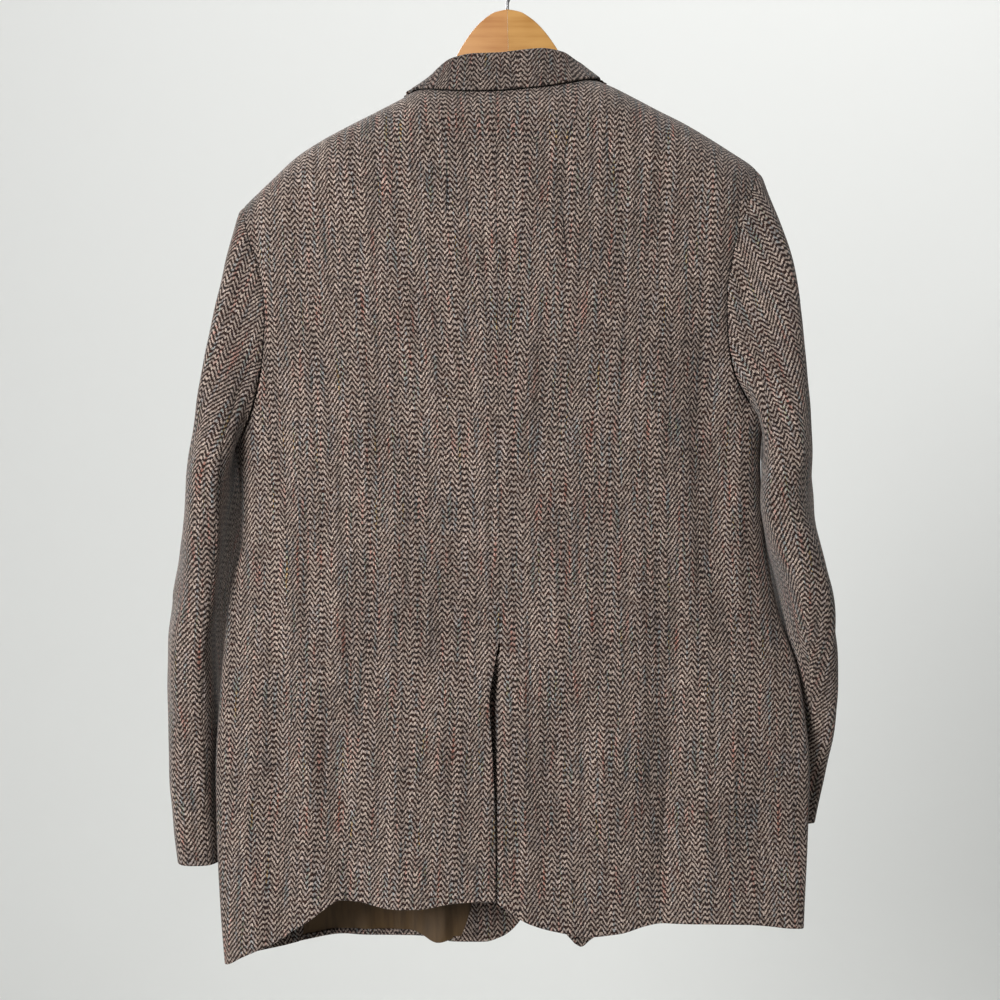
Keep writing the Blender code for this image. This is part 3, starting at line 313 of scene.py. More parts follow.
# ---- lapels, facing, turn-up, lining, flaps and buttons
# a lapel's outer edge, as its distance from the centre front
LAPEL_EDGE = table("way height distance", [
    (0.00, -446, -8),
    (0.25, -402, 32),
    (0.50, -350, 75),
    (0.75, -296, 112),
    (1.00, -243, 136),
])
LAPEL_ROLL = {LEFT: (-449.0, -212.0), RIGHT: (-418.0, -212.0)}
LAPEL_FOOT = {LEFT: 0.0, RIGHT: 0.14}  # where on its edge a lapel starts
LAPEL_LIFT = 0.8
LAPEL_WIDTH, LAPEL_LENGTH = 110.0, 270.0
TURN_UP = 0.0075  # height of the turned-up hem, as a share of the front's height
# shares of the front by which the pieces inside it stay within its edge, its hem, its seam and the turn-up
INSIDE_EDGE, INSIDE_HEM, INSIDE_SEAM, ABOVE_TURN_UP = 0.004, 0.0015, 0.985, 0.0008
INSIDE_TOP = 0.322  # share of the front that its facing and lining reach up
FACING_SHARE = 0.262  # width of the facing, as a share of the front's
INNER_GAP = 0.4
FLAP_LIFT = 0.9
# where the loose lining bags out: its middle, half width, drop and height, and how far it stands in
Bag = namedtuple("Bag", "x width drop height stand")
LINING_BAG = Bag(-67.0, 15.0, 11.0, 45.0, 4.5)
# a pocket flap's corners: distance from the centre front and height
FLAP_CORNERS = {"top_in": (84, -633), "top_out": (206, -668), "low_out": (211, -722), "low_in": (80, -688)}
FLAP_WIDTH, FLAP_DEPTH = 150.0, 55.0
BUTTON_HEIGHTS = (-466.0, -571.0, -676.0)
BUTTON_SEAT = 0.5
BUTTON_RINGS = table("radius out", [
    (0.4, 0.0),
    (8.6, 0.0),
    (9.5, 0.5),
    (9.95, 1.4),
    (9.9, 2.4),
    (9.3, 3.2),
    (8.4, 3.55),
    (7.6, 3.3),
    (6.9, 2.4),
    (6.1, 1.7),
    (4.5, 1.6),
    (0.4, 1.6),
])
BUTTON_SIDES = 48
BUTTON_HOLE = 2.3  # from the middle of a button to each hole
HOLE_RADIUS, HOLE_LEVELS = 0.95, (1.2, 1.68)
THREAD_HALF_WIDTH, THREAD_HALF_HEIGHT = 0.7, 0.4
THREAD_STEPS = 9
THREAD_LEVEL, THREAD_RISE, THREAD_OVER = 1.5, 0.75, 0.25  # its ends, its middle, and the upper of two

# ---- hanger
# half of the wooden hanger, by the distance from its middle
HANGER = table("distance upper lower half_thick", [
    (0.2, -55.0, -146.0, 6.6),
    (12, -57.5, -146.0, 6.6),
    (24, -65.0, -146.5, 6.6),
    (34, -75.0, -147.5, 6.6),
    (45.5, -91.0, -149.5, 6.5),
    (54, -106.5, -151.5, 6.5),
    (62, -121.0, -154.5, 6.4),
    (70, -132.0, -157.5, 6.3),
    (86, -138.0, -163.5, 6.2),
    (105, -146.0, -171.5, 6.1),
    (130, -158.4, -183.0, 6.0),
    (155, -170.0, -194.5, 5.9),
    (180, -182.4, -206.5, 5.8),
    (205, -197.8, -220.0, 5.6),
    (218, -208.9, -226.5, 5.2),
    (223, -214.5, -224.5, 3.6),
])
WOOD_ROUND, WOOD_ROUND_SHARE = 2.6, 0.6  # radius of its edges, at most this share of half its thickness
HANGER_AT = np.concatenate([np.linspace(0.1, 60, 50), np.linspace(62, 223, 60)])  # where its sections lie
CORNER_STEPS = 6  # points round each corner of a section
HOOK_WIRE = 1.6  # its radius
HOOK_RADIUS = 19.0  # inside of the hook's bend
HOOK_STEM = 6.0  # straight part of the stem above the wood
HOOK_BEND = (-52.0, 196.0)  # from the stem's join round to the tip, in degrees
HOOK_PULL = 12.0  # how softly the stem runs into the bend
HOOK_TIP = 0.35  # share of the wire's radius that is left at the very tip
HOOK_STEPS, HOOK_SIDES = (12, 60), 24  # points along its stem and its bend, and round the wire

# ---- finer folds than the solids have, as far as they show
# a crease runs from one place to another; bow is how far its middle swings to the right of that
# line, width is its half width, and depth is how far it sinks (or, under 0, stands out)
CREASES = table("face from_x from_z to_x to_z bow depth width", [
    (1, -244, -225, -234, -490, -8, 5.5, 6.5),
    (1, 240, -195, 214, -420, 8, 5.0, 6.5),
    (1, 213, -320, 238, -490, -3, 4.6, 6.5),
    (1, 236, -432, 176, -560, 6, 2.6, 9),
    (1, 240, -450, 190, -640, 10, 2.8, 10),
    (1, 232, -420, 150, -500, 5, 1.6, 9),
    (1, 178, -300, 214, -660, -6, 5.0, 15),
    (1, 168, -600, 172, -960, 14, 6.5, 17),
    (1, -170, -690, -118, -1030, 4, 9.0, 18),
    (1, -214, -560, -196, -920, -4, 4.5, 14),
    (1, -122, -700, -108, -1020, 3, 6.5, 13),
    (1, 60, -700, 50, -1010, 0, 3.0, 26),
    (1, 128, -120, 150, -400, 6, 6.0, 40),
    (1, 205, -560, 196, -800, -6, 1.2, 9),
    (1, 168, -640, 128, -905, 6, 1.4, 9),
    (1, 95, -700, 88, -960, 3, -1.0, 14),
    (1, 60, -560, 46, -940, -4, 0.7, 12),
    (1, -232, -470, -196, -600, -5, 1.4, 8),
    (1, -238, -520, -206, -730, -6, 1.3, 9),
    (1, -250, -600, -238, -930, 3, 1.0, 8),
    (1, -192, -640, -188, -930, 3, -1.2, 10),
    (1, -148, -600, -138, -930, -5, 2.0, 9),
    (1, -88, -560, -80, -900, 4, 0.8, 13),
    (1, -45, -480, -40, -800, -3, 0.6, 14),
    (1, 120, -240, 150, -420, 5, 0.8, 14),
    (1, -130, -230, -150, -410, -5, 0.8, 14),
    (-1, -232, -440, -150, -560, -6, 1.6, 9),
    (-1, 226, -430, 150, -540, 6, 1.5, 9),
    (-1, -60, -500, -130, -640, -5, 0.9, 12),
    (-1, 70, -490, 140, -650, 5, 0.9, 12),
    (-1, -110, -700, -118, -960, 4, 1.1, 11),
    (-1, 110, -720, 118, -960, -4, 1.1, 11),
    (-1, -190, -640, -176, -960, 4, 1.3, 10),
    (-1, 186, -640, 190, -950, -4, 1.3, 10),
])
LINING_CREASES = table("face from_x from_z to_x to_z bow depth width", [
    (-1, -161, -1010, -156, -850, 3, -2.2, 6),
    (-1, -136, -1020, -142, -840, 3, -1.8, 7),
    (-1, -104, -1015, -100, -860, 2, -1.4, 6),
    (-1, -82, -1010, -86, -850, -3, -2.2, 6),
    (-1, -58, -1010, -62, -850, 2, -2.0, 5),
])
RIPPLE_COUNT, RIPPLE_DEPTH = 14, 0.16  # small unevenness of the whole cloth
RIPPLE_SHORT, RIPPLE_LONG = 45.0, 150.0

# creases in a sleeve, in its flat cloth: across from the outer line towards the back, and height
SLEEVE_CREASES = table("side from_a from_z to_a to_z bow depth width", [
    (LEFT, -40, -300, -75, -520, 4, 1.4, 12),
    (LEFT, 20, -560, 70, -640, 4, 1.8, 10),
    (LEFT, 10, -640, 60, -600, -4, -1.5, 12),
    (LEFT, 30, -700, 80, -760, 4, 1.5, 11),
    (LEFT, 60, -420, 90, -560, 4, 1.6, 10),
    (LEFT, -20, -600, -90, -660, 4, 1.8, 11),
    (LEFT, -10, -700, -80, -730, 4, 1.4, 12),
    (RIGHT, -10, -230, 0, -430, 0, -5.5, 45),
    (RIGHT, 20, -300, 70, -470, 4, 1.2, 13),
    (RIGHT, 10, -540, 70, -610, 4, 1.6, 11),
    (RIGHT, 30, -600, 85, -690, 4, 1.5, 10),
    (RIGHT, 60, -420, 90, -540, 4, 1.6, 10),
    (RIGHT, -20, -580, -90, -640, 4, 1.8, 11),
    (RIGHT, -10, -680, -80, -710, 4, 1.4, 12),
])


# ---- reading the tables
def steps(rows, column):
    """One column of a table with its places, in rising order of place, and a gentle slope at each row."""
    place = np.array([row[0] for row in rows], float)
    value = np.array([getattr(row, column) for row in rows], float)
    if place[0] > place[-1]:
        place, value = place[::-1], value[::-1]
    run = np.diff(place)
    rise = np.diff(value) / run
    slope = np.empty_like(value)
    slope[0], slope[-1] = rise[0], rise[-1]
    before, after = rise[:-1], rise[1:]
    same_way = before * after > 0
    total = np.where(same_way, before + after, 1.0)
    slope[1:-1] = np.where(same_way, 2 * before * after / total, 0.0)
    return place, value, slope


READ = {}


def smooth(rows, column, at):
    """A table's column read on a smooth curve through its rows; the first column is the place."""
    key = (id(rows), column)
    if key not in READ:
        READ[key] = steps(rows, column)
    place, value, slope = READ[key]
    at = np.clip(at, place[0], place[-1])
    row = np.clip(np.searchsorted(place, at, side="right") - 1, 0, len(place) - 2)
    run = place[row + 1] - place[row]
    t = (at - place[row]) / run
    return soft_curve(t, value[row], run * slope[row], value[row + 1], run * slope[row + 1])


def soft_curve(t, start, leave, end, arrive):
    """From start (t = 0) to end (t = 1), leaving and arriving along the two given pulls."""
    return ((1 + 2 * t) * (1 - t) ** 2 * start + t * (1 - t) ** 2 * leave
            + t * t * (3 - 2 * t) * end - t * t * (1 - t) * arrive)


def ease(share):
    """0 to 1 with a soft start and end."""
    share = np.clip(share, 0.0, 1.0)
    return share * share * (3 - 2 * share)


def mix(first, second, share):
    return first + (second - first) * share


def unit(vectors):
    return vectors / np.maximum(np.linalg.norm(vectors, axis=-1, keepdims=True), 1e-12)


def pack(*values):
    """Coordinates side by side, each a number or an array."""
    return np.stack(np.broadcast_arrays(*values), axis=-1).astype(float)


def lengths(points, axis=0):
    """How far along its line each point lies, from the first one on."""
    gaps = np.linalg.norm(np.diff(points, axis=axis), axis=-1)
    return np.concatenate([np.zeros_like(gaps.take([0], axis)), np.cumsum(gaps, axis)], axis)


# ---- the body's form
def shoulder_height(x):
    left = smooth(SHOULDER_LINE, "left", np.abs(x))
    return np.where(np.less(x, 0), left, smooth(SHOULDER_LINE, "right", np.abs(x)))


def frame_at(side, height, back):
    """Centre line, its distance to the side, and the exponent of the section there."""
    centre = np.where(back, smooth(BODY, "back_x", height), smooth(BODY, "front_x", height))
    span = side * smooth(BODY, SIDE_NAMES[side], height) - centre
    return centre, span, np.where(back, BACK_SQUARENESS, FRONT_SQUARENESS)


def girth_at(side, x, height, back):
    """Girth of a place given by its x: 0 centre back, 1 side, 2 centre front."""
    centre, span, square = frame_at(side, height, back)
    share = (x - centre) / span
    girth = np.copysign(1 - np.maximum(1 - np.abs(share), 0.0) ** (1 / square), share)
    return np.where(back, girth, 2 - girth)


def place_at(side, x, height, back):
    """Girth and height of a place given by its x."""
    return pack(girth_at(side, x, height, back), height)


def crease_depth(crease, across, height):
    """How deep a crease is at a place: most along its own line, dying away to its sides and ends."""
    start = np.array([crease[1], crease[2]], float)
    line = np.array([crease[3], crease[4]], float) - start
    length = np.linalg.norm(line)
    line /= length
    way = ((across - start[0]) * line[0] + (height - start[1]) * line[1]) / length
    aside = (across - start[0]) * line[1] - (height - start[1]) * line[0]
    aside = aside - crease.bow * np.sin(math.pi * np.clip(way, 0, 1))
    strength = ease(way / FOLD_FADE) * ease((1 - way) / FOLD_FADE)
    return crease.depth * strength * np.exp(-(aside / crease.width) ** 2)


def ripple(across, height):
    """Small unevenness, from a few long waves that run in all directions."""
    waves = np.random.default_rng(7)
    depth = 0.0
    for _ in range(RIPPLE_COUNT):
        turn, phase = waves.uniform(0, math.pi), waves.uniform(0, 2 * math.pi)
        step = 2 * math.pi / waves.uniform(RIPPLE_SHORT, RIPPLE_LONG)
        depth = depth + np.sin(step * (across * math.cos(turn) + height * math.sin(turn)) + phase)
    return RIPPLE_DEPTH * depth


def fold_depth(x, height, back):
    depth = ripple(x + np.where(back, 0.0, 1000.0), height)
    for fold in FOLDS:
        way = (fold.top - height) / (fold.top - fold.bottom)
        strength = ease(way / FOLD_FADE)
        if fold.bottom > HEM_ZONE:
            strength = strength * ease((1 - way) / FOLD_FADE)
        aside = (x - mix(fold.top_x, fold.bottom_x, np.clip(way, 0, 1))) / fold.width
        depth = depth + np.where(back == (fold.face > 0), fold.depth * strength * np.exp(-aside * aside), 0.0)
    for crease in CREASES:
        depth = depth + np.where(back == (crease.face > 0), crease_depth(crease, x, height), 0.0)
    return depth


def full_point(side, girth, height):
    """A point on the body's cloth as if it ran on straight up past the shoulder."""
    back = np.less(girth, 1)
    centre, span, square = frame_at(side, height, back)
    from_centre = np.where(back, girth, 2 - girth)
    share = np.copysign(1 - np.maximum(1 - np.abs(from_centre), 0.0) ** square, from_centre)
    x = centre + span * share
    side_y = smooth(BODY, SIDE_NAMES[side] + "_y", height)
    flat_y = np.where(back, smooth(BODY, "back_y", height), smooth(BODY, "front_y", height))
    y = side_y + (flat_y - side_y) * np.maximum(1 - np.abs(share) ** square, 0.0) ** (1 / square)
    inward = fold_depth(x, height, back) * (1 - np.abs(share) ** FOLD_REACH)
    return pack(x, y + np.where(back, inward, -inward), height)


def rounding(x, height):
    """How far a place has turned from the shoulder line (0) to the upright cloth (1), as a sine."""
    drop = np.clip((shoulder_height(x) - height) / SHOULDER_ROUND, 0.0, 1.0)
    return np.sqrt(1 - (1 - drop) ** 2)


def body_point(side, girth, height):
    """A point on the outside of the body's cloth."""
    point = full_point(side, girth, height)
    point[..., 1] *= rounding(point[..., 0], height)
    return point


def body_normal(side, girth, height):
    """Outward direction of the body's cloth; the same for all panels that meet at a place."""
    step = 1e-3
    across = full_point(side, girth + step, height) - full_point(side, girth - step, height)
    upward = full_point(side, girth, height + 0.5) - full_point(side, girth, height - 0.5)
    face = side * unit(np.cross(across, upward))
    x = full_point(side, girth, height)[..., 0]
    slope = (shoulder_height(x + 1.0) - shoulder_height(x - 1.0)) / 2
    turned = rounding(x, height)[..., None]
    upright = unit(pack(-slope, 0.0, 1.0))
    return unit(face * turned + upright * np.sqrt(np.maximum(1 - turned * turned, 0.0)))


def patch(inner, outer, bottom, top, us, vs):
    """Girth and height over a panel's grid, from its four edges: each edge is a function of shares."""
    ends = np.array([0.0, 1.0])
    u, v = us[None, :, None], vs[:, None, None]
    inner_ends, outer_ends = inner(ends), outer(ends)
    across = (1 - u) * inner(vs)[:, None] + u * outer(vs)[:, None]
    along = (1 - v) * bottom(us)[None] + v * top(us)[None]
    corners = (1 - u) * ((1 - v) * inner_ends[0] + v * inner_ends[1])
    corners = corners + u * ((1 - v) * outer_ends[0] + v * outer_ends[1])
    return across + along - corners


def seam_foot(side, back):
    """x where a side body's seam meets the hem."""
    name = SIDE_NAMES[side]
    hem, column = (BACK_HEM, "back_" + name) if back else (FRONT_HEM, "front_" + name)
    distance = smooth(SIDE_SEAMS, column, HEM_LEVEL)
    for _ in range(HEM_ROUNDS):
        distance = smooth(SIDE_SEAMS, column, smooth(hem, name, distance))
    return side * distance


def hem_place(hem, side, x, back):
    return place_at(side, x, smooth(hem, SIDE_NAMES[side], side * x), back)


def armhole_place(side, way, back):
    """Girth and height on the armhole; way is 0 at the shoulder tip and 1 at the underarm."""
    hole = ARMHOLES[side]
    girth = np.where(back, smooth(hole, "back", way), 2 - smooth(hole, "front", way))
    return pack(girth, smooth(hole, "height", way))


def way_at(side, height):
    """How far down the armhole a height lies."""
    ways = np.linspace(0, 1, 801)
    return np.interp(-np.asarray(height), -smooth(ARMHOLES[side], "height", ways), ways)


def junction(side, back):
    """Where the side body's seam leaves the armhole."""
    return armhole_place(side, SEAM_WAY["back" if back else "front"], back)


def side_seam(side, height, back):
    column = ("back_" if back else "front_") + SIDE_NAMES[side]
    girth = girth_at(side, side * smooth(SIDE_SEAMS, column, height), height, back)
    end = junction(side, back)
    meet = ease((height - end[1] + SEAM_MEET) / SEAM_MEET)
    return pack(mix(girth, end[0], meet), height)


def outer_edge(side, hem_x, hem, back):
    """A panel's outer edge from its hem up the side body's seam, then up the armhole to the tip."""
    start, meet = hem_place(hem, side, hem_x, back), junction(side, back)
    tip = armhole_place(side, 0.0, back)

    def edge(v):
        seam = side_seam(side, mix(start[1], meet[1], np.minimum(v / SEAM_SHARE, 1)), back)
        above = np.clip((v - SEAM_SHARE) / (1 - SEAM_SHARE), 0, 1)
        hole = armhole_place(side, way_at(side, mix(meet[1], tip[1], above)), back)
        return np.where((v > SEAM_SHARE)[:, None], hole, seam)

    return edge


def neckline(side, x):
    """Girth and height on the back's neckline."""
    dip = NECK_DIP * (1 - (np.abs(x - NECK_X) / NECK_HALF) ** NECK_FLAT)
    return place_at(side, x, shoulder_height(x) - dip, True)


def shoulder_edge(side, start_x, back):
    """A panel's upper edge along the shoulder seam, from the neck to the tip."""
    tip = armhole_place(side, 0.0, back)
    tip_x = body_point(side, tip[0], tip[1])[0]
    below = tip[1] - shoulder_height(tip_x)

    def edge(share):
        x = mix(start_x, tip_x, share)
        return place_at(side, x, shoulder_height(x) + below * share, back)

    return edge


# ---- where each place lies in the flat cloth
def level_length(side, girth, height, start):
    """Length of cloth along a level line, from one girth round to another."""
    shares = np.linspace(0, 1, 24)
    path = full_point(side, mix(start, girth[..., None], shares), height[..., None] + 0 * shares)
    length = np.linalg.norm(np.diff(path, axis=-2), axis=-1).sum(-1)
    return np.copysign(length, girth - start)


# how far outwards from the centre back the grain has moved at each height
GRAIN = table("height shift", [
    (-120, 19.0),
    (-330, 9.0),
    (-500, 0.5),
    (-600, 0.0),
    (-760, 3.5),
    (-950, 9.0),
])


def flat_body(side, place, start):
    """Across and along the cloth, in millimetres, seen from outside with the grain upright."""
    girth, height = place[..., 0], place[..., 1]
    x = full_point(side, girth, height)[..., 0]
    drop = shoulder_height(x) - height
    over = np.arccos(1 - np.clip(drop / SHOULDER_ROUND, 0, 1)) * SHOULDER_ROUND
    along = shoulder_height(x) - over - np.maximum(drop - SHOULDER_ROUND, 0.0)
    shift = smooth(GRAIN, "shift", height) if start == BACK_START else 0.0
    return pack(side * (level_length(side, girth, height, start) - shift), along)


# ---- meshes
ROLL_STEPS = (0.0, 0.25, 0.6, 1.2, 3.0)  # rows beside an edge, where the cloth rolls over it
ROLL_LEFT = 0.45  # share of the wall that is left at the very edge
ROLL_WIDTH = 0.8  # width of the roll, as a share of half the wall
GRID = 4.2  # distance between rows in the open cloth


def edged(length, step=GRID):
    """Shares along a length: close rows at both ends, even ones between."""
    ends = np.array(ROLL_STEPS) / length
    count = max(int(round((1 - 2 * ends[-1]) * length / step)), 2)
    middle = np.linspace(ends[-1], 1 - ends[-1], count + 1)
    return np.concatenate([ends[:-1], middle, 1 - ends[:-1][::-1]])


def border_distance(points):
    """How far each grid point lies from the nearest border, along its row or its column."""
    found = []
    for axis in (0, 1):
        first = lengths(points, axis)
        found += [first, first.take([-1], axis) - first]
    return np.minimum.reduce(found)


def add_mesh(name, points, faces, *materials):
    """A new object in the scene, from points in metres."""
    mesh = bpy.data.meshes.new(name)
    mesh.from_pydata(np.asarray(points).tolist(), [], faces)
    for material in materials:
        mesh.materials.append(MATERIALS[material])
    made = bpy.data.objects.new(name, mesh)
    bpy.context.scene.collection.objects.link(made)
    return made


def edit_all(made, operator, **options):
    """Runs one of Blender's mesh tools on the whole of an object."""
    bpy.ops.object.select_all(action="DESELECT")
    bpy.context.view_layer.objects.active = made
    made.select_set(True)
    bpy.ops.object.mode_set(mode="EDIT")
    bpy.ops.mesh.select_all(action="SELECT")
    operator(**options)
    bpy.ops.object.mode_set(mode="OBJECT")


def grid_faces(rows, columns, start, flip):
    row, column = np.meshgrid(np.arange(rows - 1), np.arange(columns - 1), indexing="ij")
    a = (start + row * columns + column).ravel()
    quads = np.stack([a, a + 1, a + 1 + columns, a + columns], axis=1)
    return quads[:, ::-1] if flip else quads


def border_loop(rows, columns):
    loop = list(range(columns))
    loop += [r * columns + columns - 1 for r in range(1, rows)]
    loop += [(rows - 1) * columns + c for c in range(columns - 2, -1, -1)]
    loop += [r * columns for r in range(rows - 2, 0, -1)]
    return loop


# what each piece was cut from: width and length, and how much of that its shape fills
CUTS = table("node width length share held rests_on", [
    ("back_left", 253, 852, 0.78, "hung", "hanger_left"),
    ("back_right", 295, 856, 0.68, "hung", "hanger_right"),
    ("side_left", 193, 545, 0.83, "hung", "hanger_left"),
    ("side_right", 263, 531, 0.74, "hung", "hanger_right"),
    ("front_left", 283, 881, 0.78, "hung", "hanger_left"),
    ("front_right", 261, 893, 0.70, "hung", "hanger_right"),
    ("sleeve_top_left", 213, 653, 0.85, "hung", "hanger_left"),
    ("sleeve_top_right", 241, 672, 0.74, "hung", "hanger_right"),
    ("sleeve_under_left", 155, 506, 0.80, "hung", "hanger_left"),
    ("sleeve_under_right", 164, 513, 0.73, "hung", "hanger_right"),
    ("collar", 486, 74, 0.72, "folded", "back_left"),
    ("lapel_left", 154, 237, 0.37, "folded", "front_left"),
    ("lapel_right", 144, 210, 0.43, "folded", "front_right"),
    ("flap_left", 132, 89, 0.60, "hung", "front_left"),
    ("flap_right", 134, 89, 0.61, "hung", "front_right"),
    ("facing_left", 102, 280, 0.55, "hung", "front_left"),
    ("turnup_left", 160, 16, 0.50, "folded", "front_left"),
    ("lining_left", 201, 264, 0.81, "hung", "front_left"),
])
CUTS = {cut.node: cut for cut in CUTS}


def cloth_piece(node, points, normal, flat, wears, outside=0.0, inside=-WALL, lined_from=None):
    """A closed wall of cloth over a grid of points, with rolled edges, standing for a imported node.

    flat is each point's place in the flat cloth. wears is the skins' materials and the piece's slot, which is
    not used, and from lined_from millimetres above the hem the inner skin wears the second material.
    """
    rows, columns = points.shape[:2]
    middle, half = (outside + inside) / 2, (outside - inside) / 2
    near = np.clip(border_distance(points) / (half * ROLL_WIDTH), 0, 1)
    swell = ROLL_LEFT + (1 - ROLL_LEFT) * np.sqrt(1 - (1 - near) ** 2)
    sides = [points + normal * (middle + way * half * swell)[..., None] for way in (1, -1)]
    spots = np.concatenate([skin.reshape(-1, 3) for skin in sides]) * MM

    along, up = points[1:, 1:] - points[1:, :-1], points[1:, 1:] - points[:-1, 1:]
    turned = float((np.cross(along, up) * normal[1:, 1:]).sum()) < 0
    count = rows * columns
    outer = grid_faces(rows, columns, 0, turned)
    inner = grid_faces(rows, columns, count, not turned)
    loop = np.array(border_loop(rows, columns))
    after = np.roll(loop, -1)
    rim = np.stack([after, loop, loop + count, after + count], axis=1)
    rim = rim[:, ::-1] if turned else rim
    faces = np.concatenate([outer, inner, rim])

    skins, slot = wears
    made = add_mesh(node + "_cloth", spots, faces.tolist(), *skins)
    mesh = made.data
    mesh.shade_smooth()
    add_maps(mesh, faces, flat, rows, columns, len(outer))
    slots = np.zeros(len(faces), np.int32)
    if lined_from is not None:
        level = flat[..., 1] - min(flat[0, :, 1].mean(), flat[-1, :, 1].mean())
        lined = level.ravel()[inner - count].mean(1) > lined_from
        slots[len(outer):len(outer) + len(inner)] = lined
    mesh.polygons.foreach_set("material_index", slots)
    mesh.update()
    stands_for(made, node, slot)


# where the outer skin, the inner skin and the rim lie on the map for pictures, as shares of it
MAP_LEFT, MAP_WIDTH, MAP_RIM = (0.01, 0.70, 0.965), (0.67, 0.25, 0.0), 0.025
MAP_LOW, MAP_HEIGHT = 0.01, 0.98


def add_maps(mesh, faces, flat, rows, columns, outer_count):
    """The place in the flat cloth, in metres, and a map for pictures of both skins and the rim."""
    corners = faces.ravel()
    count = rows * columns
    cloth = mesh.uv_layers.new(name="cloth")
    cloth.uv.foreach_set("vector", (flat.reshape(-1, 2) * MM)[corners % count].astype(np.float32).ravel())
    u = np.tile(np.linspace(0, 1, columns), rows)
    v = np.repeat(np.linspace(0, 1, rows), columns)
    spread = np.stack([u, v], axis=1)[corners % count]
    skin = np.repeat([0, 1, 2], [outer_count * 4, outer_count * 4, len(corners) - outer_count * 8])
    left, width = (np.array(column)[skin] for column in (MAP_LEFT, MAP_WIDTH))
    bake = np.stack([left + width * spread[:, 0], MAP_LOW + MAP_HEIGHT * spread[:, 1]], axis=1)
    on_rim = skin == 2
    bake[on_rim, 0] += MAP_RIM * (corners[on_rim] >= count)
    layer = mesh.uv_layers.new(name="OFBake")
    layer.uv.foreach_set("vector", bake.astype(np.float32).ravel())
    mesh.uv_layers.active = cloth


def stands_for(made, node, slot):
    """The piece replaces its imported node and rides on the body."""
    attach(made, BODY_NAME)
    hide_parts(node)


# ---- body panels
BACK_WIDTH, SIDE_WIDTH, FRONT_WIDTH, BODY_HEIGHT, SIDE_HEIGHT = 260.0, 150.0, 280.0, 830.0, 540.0
BACK_START, FRONT_START = 0.0, 2.0  # girths from which the flat cloth is measured
LINED_FROM = 34.0  # the lining starts this far above a hem
LINED_TWEED = (("tweed", "lining"), "tweed")  # materials of the two skins, and the slot
PLAIN_TWEED = (("tweed",), "tweed")


def body_piece(node, side, place, start, inset=None, wears=LINED_TWEED, **options):
    """A piece on the body's form; `place` holds its girths and heights."""
    points = body_point(side, place[..., 0], place[..., 1])
    if inset:
        points[..., 1] += inset(points)
    normal = body_normal(side, place[..., 0], place[..., 1])
    flat = flat_body(side, place, start)
    cloth_piece(node, points, normal, flat, wears, **options)


def vent_inset(points):
    """The right back turns in under the left one below the vent's top."""
    height = points[..., 2]
    past = points[..., 0] - smooth(BODY, "back_x", height)
    foot, width = VENT_DROP
    depth = VENT_SINK * (1 - ease(past / VENT_ROLL)) + VENT_DEPTH * (1 - ease((past - foot) / width))
    return depth * ease((VENT_TOP - height) / VENT_RAMP)


def make_back(side):
    hem_x = seam_foot(side, True)
    neck = NECK_X + side * NECK_HALF
    top_x = smooth(BODY, "back_x", NECK_LEVEL)
    shoulder = shoulder_edge(side, neck, True)

    def top(u):
        turned = np.sin(np.clip(u / NECK_SHARE, 0, 1) * math.pi / 2)
        past = shoulder(np.clip((u - NECK_SHARE) / (1 - NECK_SHARE), 0, 1))
        return np.where((u <= NECK_SHARE)[:, None], neckline(side, mix(top_x, neck, turned)), past)

    def inner_x(height):
        centre = smooth(BODY, "back_x", height)
        if side == LEFT:
            return centre - smooth(VENT_EDGE, "swing", height)
        return centre - VENT_LAP * ease((VENT_TOP - LAP_START - height) / LAP_RISE)

    low_x = inner_x(BACK_LENGTH)
    low = hem_place(BACK_HEM, side, low_x, True)
    high = neckline(side, top_x)

    def inner(v):
        height = mix(low[1], high[1], v)
        return place_at(side, inner_x(height), height, True)

    def bottom(u):
        return hem_place(BACK_HEM, side, mix(low_x, hem_x, u), True)

    place = patch(inner, outer_edge(side, hem_x, BACK_HEM, True), bottom, top,
                  edged(BACK_WIDTH), edged(BODY_HEIGHT))
    inset = vent_inset if side == RIGHT else None
    body_piece("back_" + SIDE_NAMES[side], side, place, BACK_START, inset, lined_from=LINED_FROM)


def make_side(side):
    name = SIDE_NAMES[side]
    low_back = hem_place(BACK_HEM, side, seam_foot(side, True), True)
    low_front = hem_place(FRONT_HEM, side, seam_foot(side, False), False)

    def bottom(u):
        girth = mix(low_back[0], low_front[0], u)
        x = body_point(side, girth, HEM_LEVEL + 0 * girth)[..., 0]
        height = np.where(girth < 1, smooth(BACK_HEM, name, side * x), smooth(FRONT_HEM, name, side * x))
        return pack(girth, height)

    def top(u):
        back = u <= 0.5
        way = np.where(back, mix(SEAM_WAY["back"], 1.0, u / 0.5), mix(1.0, SEAM_WAY["front"], u / 0.5 - 1))
        return armhole_place(side, way, back)

    def inner(v):
        return side_seam(side, mix(low_back[1], junction(side, True)[1], v), True)

    def outer(v):
        return side_seam(side, mix(low_front[1], junction(side, False)[1], v), False)

    place = patch(inner, outer, bottom, top, edged(SIDE_WIDTH), edged(SIDE_HEIGHT))
    body_piece("side_" + name, side, place, BACK_START, lined_from=LINED_FROM)


# ---- fronts
def under_lap(points):
    """The right front lies inside the left one where they lap."""
    centre = smooth(BODY, "front_x", points[..., 2])
    return -UNDER_LAP * (1 - ease((points[..., 0] - centre - LAP_FLAT) / LAP_FADE))


def front_x(side, distance, height):
    """x of a place given by its distance from the centre front, towards its own side."""
    return smooth(BODY, "front_x", height) + side * distance


def front_edge_x(side, height):
    return front_x(side, smooth(FRONT_EDGES, SIDE_NAMES[side], height), height)


def front_place(side, distance, height):
    return place_at(side, front_x(side, distance, height), height, False)


